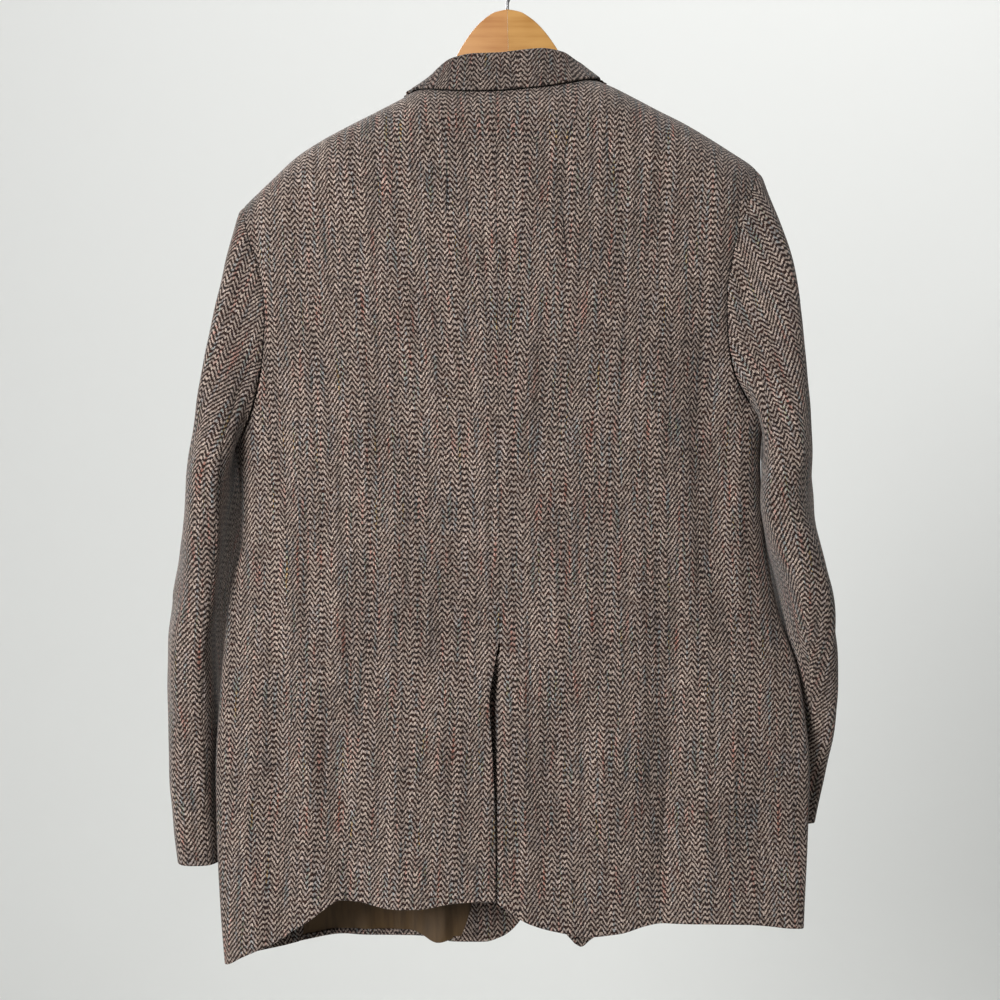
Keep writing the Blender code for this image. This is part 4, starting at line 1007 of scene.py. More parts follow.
def front_patch(side, us, vs):
    """Girth and height over a front, from its edge to the side body and from hem to shoulder."""
    hem_x = seam_foot(side, False)
    neck = NECK_X + side * NECK_HALF
    top = shoulder_edge(side, neck, False)
    low_x = front_edge_x(side, FRONT_CORNER[side])
    low = hem_place(FRONT_HEM, side, low_x, False)
    high = top(np.array([0.0]))[0]

    def inner(v):
        height = mix(low[1], high[1], v)
        return place_at(side, front_edge_x(side, height), height, False)

    def bottom(u):
        return hem_place(FRONT_HEM, side, mix(low_x, hem_x, u), False)

    return patch(inner, outer_edge(side, hem_x, FRONT_HEM, False), bottom, top, us, vs)


def front_piece(node, side, place, **options):
    inset = under_lap if side == RIGHT else None
    body_piece(node, side, place, FRONT_START, inset, **options)


def lying_piece(name, side, place, lift):
    """A piece of plain tweed that lies on a front."""
    name = f"{name}_{SIDE_NAMES[side]}"
    front_piece(name, side, place, wears=PLAIN_TWEED, outside=lift + WALL, inside=lift)


def make_front(side):
    place = front_patch(side, edged(FRONT_WIDTH), edged(BODY_HEIGHT))
    front_piece("front_" + SIDE_NAMES[side], side, place, lined_from=LINED_FROM)


def make_lapel(side):
    """The facing's upper part, turned out over the front from its roll."""
    low, high = LAPEL_ROLL[side]
    us, vs = edged(LAPEL_WIDTH)[None, :], edged(LAPEL_LENGTH)[:, None]
    height = mix(low, high, vs)
    distance = smooth(FRONT_EDGES, SIDE_NAMES[side], height)
    way = mix(LAPEL_FOOT[side], 1.0, vs)
    distance = mix(distance, smooth(LAPEL_EDGE, "distance", way), us)
    level = mix(height, smooth(LAPEL_EDGE, "height", way), us)
    lying_piece("lapel", side, front_place(side, distance, level), LAPEL_LIFT)


# the pieces inside the left front: shares of it from its edge to its seam and from its hem up
INSIDE = table("node near far low high slot thick", [
    ("facing_left", INSIDE_EDGE, FACING_SHARE, INSIDE_HEM, INSIDE_TOP, "tweed", WALL),
    ("turnup_left", FACING_SHARE, INSIDE_SEAM, INSIDE_HEM, TURN_UP, "tweed", WALL),
    ("lining_left", FACING_SHARE, INSIDE_SEAM, TURN_UP + ABOVE_TURN_UP, INSIDE_TOP, "lining", LINING_WALL),
])


def make_inside_front():
    """What shows inside the left front under the short back: facing, turned-up hem and lining."""
    for part in INSIDE:
        us = mix(part.near, part.far, edged((part.far - part.near) * FRONT_WIDTH))
        vs = mix(part.low, part.high, edged((part.high - part.low) * BODY_HEIGHT))
        place = inner_front(us, vs)
        outside = -WALL - INNER_GAP
        inset = None
        if part.slot == "lining":
            bag = lining_bag(place)
            place[..., 1] -= LINING_BAG.drop * bag
            inset = partial(lining_inset, bag)
        body_piece(part.node, LEFT, place, FRONT_START, inset, wears=((part.slot,), part.slot),
                   outside=outside, inside=outside - part.thick)


def lining_bag(place):
    """1 where the loose lining hangs out over the turned-up hem, 0 away from there."""
    x = body_point(LEFT, place[..., 0], place[..., 1])[..., 0]
    low = 1 - ease((place[..., 1] - place[:1, :, 1]) / LINING_BAG.height)
    return low * np.exp(-((x - LINING_BAG.x) / LINING_BAG.width) ** 2)


def lining_inset(bag, points):
    """How far the lining stands away from the front, towards the wearer."""
    folds = sum(crease_depth(crease, points[..., 0], points[..., 2]) for crease in LINING_CREASES)
    return folds - LINING_BAG.stand * bag


def inner_front(us, vs):
    """Places on the left front; patch needs its own ends, so they are added and taken off again."""
    whole = front_patch(LEFT, np.concatenate([[0.0], us, [1.0]]), np.concatenate([[0.0], vs, [1.0]]))
    return whole[1:-1, 1:-1]


def make_flap(side):
    """A slanted hip pocket flap, lying on the front."""
    corners = {key: front_place(side, *value) for key, value in FLAP_CORNERS.items()}
    us, vs = edged(FLAP_WIDTH)[None, :, None], edged(FLAP_DEPTH)[:, None, None]
    upper = mix(corners["top_in"], corners["top_out"], us)
    lower = mix(corners["low_in"], corners["low_out"], us)
    lying_piece("flap", side, mix(lower, upper, vs), FLAP_LIFT)


# ---- collar
COLLAR_LENGTH, COLLAR_DEPTH = 330.0, 90.0  # from the centre back to one end; round a section
COLLAR_GRID = 2.4  # distance between its rows


def neck_place(side, way):
    """Girth and height along the neck seam: the back's neckline, then down the front's edge."""
    behind = NECK_X + side * NECK_HALF * np.sin(np.clip(way / COLLAR_NECK, 0, 1) * math.pi / 2)
    top = shoulder_height(NECK_X + side * NECK_HALF)
    height = mix(top, COLLAR_END, np.clip((way - COLLAR_NECK) / (1 - COLLAR_NECK), 0, 1))
    before = place_at(side, front_edge_x(side, height), height, False)
    return np.where((way < COLLAR_NECK)[:, None], neckline(side, behind), before)


def at_places(function, side, places):
    return function(side, places[..., 0], places[..., 1])


def collar_section(side, way):
    """The neck seam, the fold and the leaf's edge at places round the collar."""
    point = at_places(body_point, side, neck_place(side, way))
    normal = at_places(body_normal, side, neck_place(side, way))
    step = 0.01
    along = unit(at_places(body_point, side, neck_place(side, np.minimum(way + step, 1.0)))
                 - at_places(body_point, side, neck_place(side, np.maximum(way - step, 0.0))))
    away = side * unit(np.cross(along, normal))
    seam = point - away * COLLAR_SEAT
    fold = point + away * smooth(COLLAR, "turn_back", way)[:, None]
    fold = fold + normal * smooth(COLLAR, "rise", way)[:, None]
    x = COLLAR_X + side * smooth(COLLAR, "edge_x", way)
    height = smooth(COLLAR, "edge_height", way) + x * COLLAR_TILT
    height = np.minimum(height, shoulder_height(x))
    girth = girth_at(side, x, height, way < COLLAR_NECK)
    lift = smooth(COLLAR, "edge_lift", way)[:, None]
    edge = body_point(side, girth, height) + body_normal(side, girth, height) * lift
    return seam, fold, edge


def collar_half(side, ways, vs):
    """Round one half of the neck by `ways`, and from the neck seam over the fold to the edge by `vs`."""
    seam, fold, edge = (part[:, None] for part in collar_section(side, ways))
    up = unit(fold - (seam + edge) / 2)
    across = edge - seam
    across = unit(across - up * (across * up).sum(-1, keepdims=True))
    centre = fold - up * COLLAR_FOLD
    stand_top, leaf_top = centre - across * COLLAR_FOLD, centre + across * COLLAR_FOLD
    low, high = COLLAR_BEND
    v = vs[None, :, None]
    turn = math.pi * np.clip((v - low) / (high - low), 0, 1)
    bend = centre - across * np.cos(turn) * COLLAR_FOLD + up * np.sin(turn) * COLLAR_FOLD
    stand = mix(seam, stand_top, np.clip(v / low, 0, 1))
    leaf = mix(leaf_top, edge, np.clip((v - high) / (1 - high), 0, 1))
    return np.where(v < low, stand, np.where(v > high, leaf, bend))


def make_collar():
    ways = edged(2 * COLLAR_LENGTH)
    half = 2 * ways[ways >= 0.5] - 1
    vs = edged(COLLAR_DEPTH, COLLAR_GRID)
    points = np.concatenate([collar_half(LEFT, half, vs)[:0:-1], collar_half(RIGHT, half, vs)])
    normal = grid_normal(points)
    normal *= np.sign((normal[len(points) // 2, -3] * np.array([0, -1, 0])).sum())
    run = lengths(points[:, -len(ROLL_STEPS) + 1])
    flat = pack((run - run[len(run) // 2])[:, None], -lengths(points, 1))
    # painted shade: the collar wears the darker copy of the tweed
    cloth_piece("collar", points, normal, flat, (("tweed_collar",), "tweed"), inside=-COLLAR_WALL)


def grid_normal(points):
    return unit(np.cross(np.gradient(points, axis=1), np.gradient(points, axis=0)))


# ---- sleeves
SLEEVE_LENGTH = 630.0
CAP_RISE = 16.0  # over this length it rises from the armhole's level
SLEEVE_ROUND = {"top": 235.0, "under": 140.0}
NEAR, NEAR_TURN = 6.0, 4.0  # distance and degrees over which a direction is read


def ring_point(side, turn, height):
    """A point round a sleeve's ring; turn is 0 outside, 90 at the back, 180 inside, 270 in front."""
    rings = SLEEVES[side]
    x, y, thick, wide, back_lean, front_lean = (smooth(rings, name, height) for name in rings[0]._fields[1:])
    power = 2 / SLEEVE_SQUARENESS
    out, back = np.cos(np.radians(turn)), np.sin(np.radians(turn))
    out = np.copysign(np.abs(out) ** power, out) * thick
    back = np.copysign(np.abs(back) ** power, back) * wide
    lean = np.radians(np.where(back > 0, back_lean, front_lean))
    return pack(x + side * (out + back * np.sin(lean)), y - back * np.cos(lean), height)


def armhole_way(side, share, back):
    """The way down an armhole at a share of its own length."""
    ways = np.linspace(0, 1, 81) ** 2
    spots = at_places(body_point, side, armhole_place(side, ways, back))
    reach = lengths(spots)
    return np.interp(share, reach / reach[-1], ways)


def armhole_at(side, turn):
    """Girth and height on the armhole for a turn round the sleeve."""
    turn = turn % 360.0
    behind = armhole_place(side, armhole_way(side, turn / 180.0, True), True)
    before = armhole_place(side, armhole_way(side, (360.0 - turn) / 180.0, False), False)
    return np.where((turn <= 180.0)[:, None], behind, before)


def armhole_start(side, turn):
    """Where a sleeve starts, and the way its cloth leaves the armhole."""
    point = at_places(body_point, side, armhole_at(side, turn))
    after = at_places(body_point, side, armhole_at(side, turn + NEAR_TURN))
    before = at_places(body_point, side, armhole_at(side, turn - NEAR_TURN))
    normal = at_places(body_normal, side, armhole_at(side, turn))
    away = unit(-side * np.cross(after - before, normal))
    under = ((1 - np.cos(np.radians(turn))) / 2)[:, None]
    lift = np.radians(mix(CAP_LIFT, UNDERARM_LIFT, under ** 3))
    leave = away * np.cos(lift) + normal * np.sin(lift)
    leave[:, 1] *= under[:, 0]
    leave = unit(leave)
    pull = mix(CAP_PULL[side], UNDERARM_PULL, under)
    return point + leave * mix(CAP_SEAT, UNDERARM_SEAT, under), leave * pull


def sleeve_points(side, turns, alongs):
    """Points on a sleeve's outside; along is 0 at the armhole and 1 at the cuff."""
    first, last = SLEEVES[side][0].height, SLEEVES[side][-1].height
    start, leave = armhole_start(side, turns)
    end = ring_point(side, turns, first)
    arrive = unit(ring_point(side, turns, first - NEAR) - end)
    chord = np.linalg.norm(end - start, axis=-1, keepdims=True)
    t = np.clip(alongs / SLEEVE_CAP, 0, 1)[:, None, None]
    cap = soft_curve(t, start, leave * chord, end, arrive * chord * CAP_REACH[side])
    below = np.clip((alongs - SLEEVE_CAP) / (1 - SLEEVE_CAP), 0, 1)[:, None]
    arm = ring_point(side, turns[None, :], mix(first, last, below))
    return np.where((alongs >= SLEEVE_CAP)[:, None, None], arm, cap)


def flatten(points):
    """Where a grid's points lie in the flat cloth, laid out by Blender."""
    rows, columns = points.shape[:2]
    made = add_mesh("flat", points.reshape(-1, 3) * MM, grid_faces(rows, columns, 0, False).tolist())
    mesh = made.data
    mesh.uv_layers.new(name="flat")
    edit_all(made, bpy.ops.uv.unwrap, method="MINIMUM_STRETCH", margin=0.0, iterations=20)
    spots = np.zeros(len(mesh.loops) * 2, np.float32)
    mesh.uv_layers["flat"].uv.foreach_get("vector", spots)
    corner = np.zeros(len(mesh.loops), np.int32)
    mesh.loops.foreach_get("vertex_index", corner)
    flat = np.zeros((rows * columns, 2))
    flat[corner] = spots.reshape(-1, 2)
    bpy.data.objects.remove(made)
    return flat.reshape(rows, columns, 2)


def grid_area(points):
    """Area of a grid of points, flat or in space."""
    points = np.concatenate([points, np.zeros(points.shape[:-1] + (3 - points.shape[-1],))], axis=-1)
    along, up = points[1:, 1:] - points[:-1, :-1], points[1:, :-1] - points[:-1, 1:]
    return np.linalg.norm(np.cross(along, up), axis=-1).sum() / 2


def to_grain(flat, across, height, area):
    """Turns and moves a flat layout so that it agrees with these lengths on the arm, at its own size."""
    spots = (flat[..., 0] + 1j * flat[..., 1]) * math.sqrt(area / grid_area(flat))
    wanted = across + 1j * height
    best = None
    for layout in (spots, np.conj(spots)):
        centre, target = layout.mean(), wanted.mean()
        turn = (np.conj(layout - centre) * (wanted - target)).sum()
        found = (layout - centre) * turn / abs(turn) + target
        error = np.abs(found - wanted).sum()
        if best is None or error < best[0]:
            best = (error, found)
    return pack(best[1].real, best[1].imag)


def sleeve_normal(side, ends, us, vs):
    """Outward direction all over a part of the sleeve, from places a small step apart."""
    step = 4e-3
    around = [sleeve_points(side, mix(*ends, np.clip(us + way, 0, 1)), vs) for way in (step, -step)]
    down = [sleeve_points(side, mix(*ends, us), np.clip(vs + way, 0, 1)) for way in (step, -step)]
    return side * unit(np.cross(around[0] - around[1], down[0] - down[1]))


def make_sleeve(side):
    """Top sleeve and under sleeve, joined down the back and the front."""
    for part, ends, middle_turn in (("top", TOP_TURNS, 0), ("under", UNDER_TURNS, 180)):
        us, vs = edged(SLEEVE_ROUND[part]), edged(SLEEVE_LENGTH)
        points = sleeve_points(side, mix(*ends, us), vs)
        normal = sleeve_normal(side, ends, us, vs)
        run = lengths(points, 1)
        middle = np.argmin(np.abs(mix(*ends, us) - middle_turn))
        across = -side * (run - run[:, middle:middle + 1])
        flat = to_grain(flatten(points), across, points[..., 2], grid_area(points))
        inward = ripple(flat[..., 0], flat[..., 1])
        for crease in SLEEVE_CREASES if part == "top" else ():
            if crease.side == side:
                inward = inward + crease_depth(crease, flat[..., 0] * -side, flat[..., 1])
        inward = inward + WALL * (1 - ease(vs * SLEEVE_LENGTH / CAP_RISE))[:, None]
        points = points - normal * inward[..., None]
        cloth_piece(f"sleeve_{part}_{SIDE_NAMES[side]}", points, normal, flat, LINED_TWEED,
                    outside=WALL, inside=0.0, lined_from=LINED_FROM)


# ---- buttons, hanger and hook
def round_mesh(rings):
    """Points and faces of a tube through rings of equal size, with its ends filled."""
    rings = np.asarray(rings)
    count, sides = rings.shape[:2]
    faces = []
    for ring in range(count - 1):
        for i in range(sides):
            a, b = ring * sides + i, ring * sides + (i + 1) % sides
            faces.append((a, b, b + sides, a + sides))
    faces += [tuple(range(sides))[::-1], tuple(range((count - 1) * sides, count * sides))]
    return rings.reshape(-1, 3), faces


def solid_piece(name, rings, material, node, sharp=40.0):
    """A closed piece through rings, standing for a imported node; edges over `sharp` degrees stay sharp."""
    points, faces = round_mesh(rings)
    made = add_mesh(name, points * MM, faces, material)
    edit_all(made, bpy.ops.mesh.normals_make_consistent, inside=False)
    made.data.shade_smooth()
    made.data.set_sharp_from_angle(angle=math.radians(sharp))
    stands_for(made, node, material)
    return made


def make_button(number, height):
    """A turned button on the left front, over the centre line, sewn through four holes."""
    name = f"button_{number}"
    place = front_place(LEFT, 0.0, np.array([height]))
    out = at_places(body_normal, LEFT, place)[0]
    seat = at_places(body_point, LEFT, place)[0] + out * BUTTON_SEAT
    up = unit(np.array([0.0, 0.0, 1.0]) - out * out[2])
    aside = np.cross(up, out)
    turns = np.linspace(0, 2 * math.pi, BUTTON_SIDES, endpoint=False)[:, None]

    def around(turn):
        return aside * np.cos(turn) + up * np.sin(turn)

    rings = [seat + out * ring.out + around(turns) * ring.radius for ring in BUTTON_RINGS]
    solid_piece(name + "_horn", rings, "horn", name, 60)
    holes = [seat + around(math.pi / 4 + k * math.pi / 2) * BUTTON_HOLE for k in range(4)]
    for k, hole in enumerate(holes, 1):
        rings = [hole + out * level + around(turns[::4]) * HOLE_RADIUS for level in HOLE_LEVELS]
        add_thread(f"{name}_hole_{k}", rings)
    cos, sin = np.cos(turns[::6]), np.sin(turns[::6])
    for k in range(2):
        cross = np.cross(out, unit(holes[k + 2] - holes[k]))
        thread = cross * cos * THREAD_HALF_WIDTH + out * sin * THREAD_HALF_HEIGHT
        rings = []
        for share in np.linspace(0, 1, THREAD_STEPS):
            level = THREAD_LEVEL + THREAD_RISE * math.sin(math.pi * share) + THREAD_OVER * k
            rings.append(mix(holes[k], holes[k + 2], share) + out * level + thread)
        add_thread(f"{name}_thread_{k + 1}", rings)


def add_thread(name, rings):
    """A stretch of sewing thread that goes with a button."""
    points, faces = round_mesh(rings)
    made = add_mesh(name, points * MM, faces, "thread")
    made.data.shade_smooth()
    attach(made, BODY_NAME)


def lean(points):
    """Points of the hanger, from its own middle to their place: it leans a little in its plane."""
    pivot_x, pivot_z = HANGER_PIVOT
    cos, sin = math.cos(HANGER_LEAN), math.sin(HANGER_LEAN)
    drop = points[..., 2] - pivot_z
    x = pivot_x + points[..., 0] * cos - drop * sin
    return pack(x, points[..., 1], pivot_z + drop * cos + points[..., 0] * sin)


def wood_section(upper, lower, half):
    """One rounded section of the wood, as depth and height all the way round."""
    soft = min(WOOD_ROUND, half * WOOD_ROUND_SHARE)
    spots = []
    for corner, (y, z) in enumerate(((half - soft, upper - soft), (half - soft, lower + soft),
                                     (soft - half, lower + soft), (soft - half, upper - soft))):
        for turn in np.linspace(0, 90, CORNER_STEPS):
            angle = math.radians(90 - 90 * corner - turn)
            spots.append((y + soft * math.cos(angle), z + soft * math.sin(angle)))
    return np.array(spots)


def make_hanger(side):
    """One half of the wooden hanger: rounded sections from the glued middle to the arm's end."""
    rings = []
    for distance in HANGER_AT:
        upper, lower, half = (float(smooth(HANGER, name, distance)) for name in HANGER[0]._fields[1:])
        section = wood_section(upper, lower, half)
        rings.append(lean(pack(side * distance, section[:, 0], section[:, 1])))
    name = SIDE_NAMES[side]
    made = solid_piece(f"hanger_{name}_wood", rings, "wood_" + name, "hanger_" + name)
    grain = np.concatenate(rings) - [HANGER_PIVOT[0], 0, 0]
    layer = made.data.attributes.new("grain", "FLOAT_VECTOR", "POINT")
    layer.data.foreach_set("vector", (np.array([side, 1, 1]) * grain * MM).ravel())


def hook_path():
    """The hook's middle line in its plane, from the wood up round the rail."""
    radius = HOOK_RADIUS + HOOK_WIRE
    foot = lean(np.array([0.0, 0.0, HANGER[0].upper + SEAM]))[[0, 2]]
    start = foot + np.array([0.0, HOOK_STEM])
    first, last = (math.radians(angle) for angle in HOOK_BEND)
    finish = np.array([radius * math.cos(first), radius * math.sin(first) - HOOK_RADIUS])
    leave = np.array([0.0, HOOK_PULL])
    arrive = np.array([-math.sin(first), math.cos(first)]) * HOOK_PULL
    path = [foot, start]
    path += [soft_curve(t, start, leave, finish, arrive) for t in np.linspace(0, 1, HOOK_STEPS[0])[1:-1]]
    bend = np.linspace(first, last, HOOK_STEPS[1])
    return np.concatenate([path, pack(radius * np.cos(bend), radius * np.sin(bend) - HOOK_RADIUS)])


def make_hook():
    """The steel hook: round wire swept along its path, with a rounded tip."""
    path = hook_path()
    along = unit(np.gradient(path, axis=0))
    turns = np.linspace(0, 2 * math.pi, HOOK_SIDES, endpoint=False)
    reach = lengths(path)
    left = np.clip((reach[-1] - reach) / HOOK_WIRE, 0.0, 1.0)
    rings = []
    for spot, way, share in zip(path, along, left):
        size = HOOK_WIRE * mix(HOOK_TIP, 1, math.sqrt(1 - (1 - share) ** 2))
        rings.append(pack(spot[0] + way[1] * size * np.cos(turns), size * np.sin(turns),
                          spot[1] - way[0] * size * np.cos(turns)))
    solid_piece("hook_steel", rings, "steel", "hook")


# ---- materials
MATERIALS = {}


class Value:
    """A node's output in a material; arithmetic on it adds nodes and gives their output."""

    def __init__(self, shade, socket):
        self.shade = shade
        self.socket = socket

    def __add__(self, other):
        return self.shade.math("ADD", self, other)

    def __sub__(self, other):
        return self.shade.math("SUBTRACT", self, other)

    def __rsub__(self, other):
        return self.shade.math("SUBTRACT", other, self)

    def __mul__(self, other):
        return self.shade.math("MULTIPLY", self, other)

    def __truediv__(self, number):
        return self * (1 / number)

    def floor(self):
        return self.shade.math("FLOOR", self)

    def fraction(self):
        return self.shade.math("FRACT", self)

    def spread(self, low, high, to_low=0.0, to_high=1.0, soft=False):
        """The value moved from one range to another, and held inside it."""
        kind = "SMOOTHSTEP" if soft else "LINEAR"
        inputs = {"Value": self, "From Min": low, "From Max": high, "To Min": to_low, "To Max": to_high}
        return self.shade.node("MapRange", inputs, interpolation_type=kind)


class Shading:
    """A material's nodes: each call adds one and gives its output."""

    def __init__(self, name):
        made = bpy.data.materials.new(name)
        made.use_nodes = True
        self.tree = made.node_tree
        self.shader = self.tree.nodes["Principled BSDF"]
        MATERIALS[name] = made

    def put(self, value, socket):
        if isinstance(value, Value):
            self.tree.links.new(value.socket, socket)
        else:
            socket.default_value = value

    def node(self, kind, inputs, output=0, **settings):
        made = self.tree.nodes.new("ShaderNode" + kind)
        for key, value in settings.items():
            setattr(made, key, value)
        for key, value in inputs.items():
            self.put(value, made.inputs[key])
        return Value(self, made.outputs[output])

    def math(self, operation, *inputs):
        return self.node("Math", dict(enumerate(inputs)), operation=operation)

    def vector(self, x, y, z=0.0):
        return self.node("CombineXYZ", {"X": x, "Y": y, "Z": z})

    def split(self, vector):
        """The first two parts of a vector or a colour."""
        made = self.tree.nodes.new("ShaderNodeSeparateXYZ")
        self.put(vector, made.inputs[0])
        return Value(self, made.outputs["X"]), Value(self, made.outputs["Y"])

    def cloth_place(self):
        """Across and along the flat cloth, in millimetres."""
        across, along = self.split(self.node("UVMap", {}, uv_map="cloth"))
        return across / MM, along / MM

    def noise(self, place, scale=1.0, detail=2.0, rough=0.5, output="Fac"):
        inputs = {"Vector": place, "Scale": scale, "Detail": detail, "Roughness": rough}
        return self.node("TexNoise", inputs, output)

    def patches(self, name, across, along):
        """Noise over the flat cloth, stretched as its row of the table says."""
        row = PATCHES[name]
        return self.noise(self.vector(across * row.across, along * row.along, row.seed), detail=row.detail)

    def blend(self, share, first, second, kind="MIX"):
        made = self.tree.nodes.new("ShaderNodeMix")
        made.data_type, made.blend_type = "RGBA", kind
        colours = [socket for socket in made.inputs if socket.type == "RGBA"]
        for socket, value in ((made.inputs["Factor"], share), (colours[0], first), (colours[1], second)):
            self.put(value, socket)
        return Value(self, next(socket for socket in made.outputs if socket.type == "RGBA"))

    def lit(self, colour, level):
        """A colour made lighter or darker by a level."""
        grey = self.node("CombineColor", {"Red": level, "Green": level, "Blue": level})
        return self.blend(1.0, colour, grey, "MULTIPLY")

    def ramp(self, value, stops):
        made = self.tree.nodes.new("ShaderNodeValToRGB")
        band = made.color_ramp.elements
        for place, colour in stops[2:]:
            band.new(place)
        for element, (place, colour) in zip(band, stops):
            element.position, element.color = place, colour
        self.put(value, made.inputs["Fac"])
        return Value(self, made.outputs["Color"])

    def bump(self, height, distance, strength):
        inputs = {"Height": height, "Distance": distance, "Strength": strength}
        self.put(self.node("Bump", inputs), self.shader.inputs["Normal"])

    def finish(self, colour, **values):
        self.put(colour, self.shader.inputs["Base Color"])
        for key, value in values.items():
            self.put(value, self.shader.inputs[key.replace("_", " ")])


def srgb(red, green, blue):
    """A linear colour from one written as it is seen, from 0 to 255."""
    seen = [value / 255 for value in (red, green, blue)]
    return (*(c / 12.92 if c <= 0.04045 else ((c + 0.055) / 1.055) ** 2.4 for c in seen), 1.0)


WARP_COLOURS = [
    (0.02, srgb(140, 97, 84)),
    (0.13, srgb(164, 129, 119)),
    (0.24, srgb(157, 140, 130)),
    (0.50, srgb(155, 140, 129)),
    (0.70, srgb(151, 137, 131)),
    (0.84, srgb(123, 128, 128)),
    (0.92, srgb(132, 131, 112)),
    (0.99, srgb(150, 124, 90)),
]
WEFT_COLOURS = [
    (0.0, srgb(32, 25, 26)),
    (0.5, srgb(38, 27, 23)),
    (0.8, srgb(50, 31, 25)),
    (1.0, srgb(38, 35, 30)),
]
SLUB_COLOUR = srgb(196, 182, 166)
COLLAR_PAINTED_SHADE = 0.72  # painted shade: the collar wears a darker copy of the tweed, all over
LINING_COLOURS = [(0.3, srgb(56, 41, 24)), (0.6, srgb(78, 59, 36))]
LINING_TWILL, LINING_TWILL_HEIGHT = 0.7, 0.02  # millimetres from line to line, and share of the relief
WOOD_COLOURS = {
    "left": (srgb(184, 135, 82), srgb(160, 108, 60)),
    "right": (srgb(186, 141, 80), srgb(162, 115, 57)),
}
WOOD_STOPS, WOOD_MIDDLE = (0.34, 0.52, 0.66), 0.35  # deep, middle and pale; and how deep the middle is
GRAIN_SLANT, GRAIN_SCALE, WIDE_GRAIN = math.radians(28), (9.0, 60.0, 130.0), 28.0
FINE_SHARE, WIDE_SHARE = 0.7, 0.3  # of the two grains
STEEL_COLOUR, BACKDROP_COLOUR = srgb(176, 176, 178), srgb(232, 233, 231)
HORN_COLOURS = [(0.35, srgb(44, 30, 22)), (0.55, srgb(78, 52, 34)), (0.7, srgb(118, 86, 58))]
THREAD_COLOURS = [(0.3, srgb(34, 25, 20)), (0.7, srgb(58, 44, 36))]

# the herringbone's chart: how many warp threads the twill climbs or falls before it turns
WARP_PITCH, PICK_PITCH = 0.94, 1.35  # millimetres from thread to thread
HERRINGBONE = (16, -5, 5, -6, 5, -2, 2, -7)
TWILL = 4  # threads in one step of the two-by-two twill
THREADS = sum(abs(run) for run in HERRINGBONE)
WEAVE_START = 21.2  # where the chart begins, from the centre back
WANDER_ACROSS, WANDER_ALONG = 2.4, 4.0  # how far the threads stray, in millimetres
UNEVEN = 2.6  # how far each thread strays on its own, in picks
FUZZ = 2.6  # how raggedly the fibres end a float
WARP_SHOWS = (1.05, 0.70)  # from the middle of a float to where the weft covers it
STRAY_SCALE, STRAY_DETAIL, STRAY_ROUGH = 0.08, 4.0, 0.6
# how light each of these makes the cloth, from its darkest to its lightest place
PAINTED_YARN_SHADE = (0.50, 1.07)  # painted shade at the sides of a yarn, and painted light along its middle
GLOW_LIGHT, FLOAT_LIGHT = (0.78, 1.22), (0.58, 1.34)  # stretches of warp, and single floats
CLOUD_LIGHT, STREAK_LIGHT = (0.87, 1.13), (0.76, 1.24)  # broad clouds, and streaks along the cloth
MIDDLING, HUE_RANGE = (0.3, 0.7), (0.24, 0.76)  # the ranges in which most of a noise lies
SLUB_SHOWS, SLUB_STRENGTH = (0.66, 0.74), 0.85
WARP_HEIGHT, WARP_ROUND, WEFT_ROUND, FIBRE_HEIGHT = 0.45, 0.7, 0.5, 0.5  # shares of the relief
# height of the relief in metres, and its strength
TWEED_RELIEF, LINING_RELIEF, WOOD_RELIEF = (0.00035, 0.8), (0.002, 0.5), (0.0002, 0.25)

# noises over the flat cloth: factors on the places across and along, in millimetres or threads
PATCHES = table("name across along seed detail", [
    ("uneven", 1.7, 1 / 9, 20.0, 1.0),  # how each thread strays on its own
    ("fibres", 0.75, 0.6, 3.0, 3.0),
    ("warp_hue", 0.27, 1 / 60, 0.0, 1.0),
    ("glow", 1.9, 1 / 12, 40.0, 2.0),
    ("weft_hue", 1 / 30, 2.3, 9.0, 1.0),
    ("slub", 1 / 1.6, 1 / 6, 5.0, 1.0),
    ("cloud", 1 / 60, 1 / 90, 0.0, 2.0),
    ("streak", 1 / 7, 1 / 190, 7.0, 2.0),
    ("lining", 1 / 8, 1 / 60, 0.0, 3.0),
    ("crumple", 1 / 11, 1 / 70, 2.0, 3.0),
])
PATCHES = {row.name: row for row in PATCHES}


def twill_step(shade, number, pick):
    """Where a place lies between two floats of the herringbone, and which float it is."""
    curve = shade.tree.nodes.new("ShaderNodeFloatCurve")
    chart(curve)
    shade.put(((number + 0.5) / THREADS).fraction(), curve.inputs["Value"])
    climb = Value(shade, curve.outputs[0]) * max(HERRINGBONE)
    step = (pick - climb) / TWILL
    return step.fraction(), step.floor()


def round_yarn(place):
    """1 along the middle of a yarn and 0 at its sides."""
    centred = place.fraction() * 2 - 1
    return 1 - centred * centred


def warp_colour(shade, number, along, float_number):
    """Greige wool with coloured lengths here and there, and each float a little lighter or darker."""
    wool = shade.ramp(shade.patches("warp_hue", number, along).spread(*HUE_RANGE), WARP_COLOURS)
    glow = shade.patches("glow", number, along).spread(*MIDDLING, *GLOW_LIGHT)
    place = shade.vector(number, float_number)
    single = shade.node("TexWhiteNoise", {"Vector": place}, noise_dimensions="3D")
    return shade.lit(wool, glow * single.spread(0.0, 1.0, *FLOAT_LIGHT))


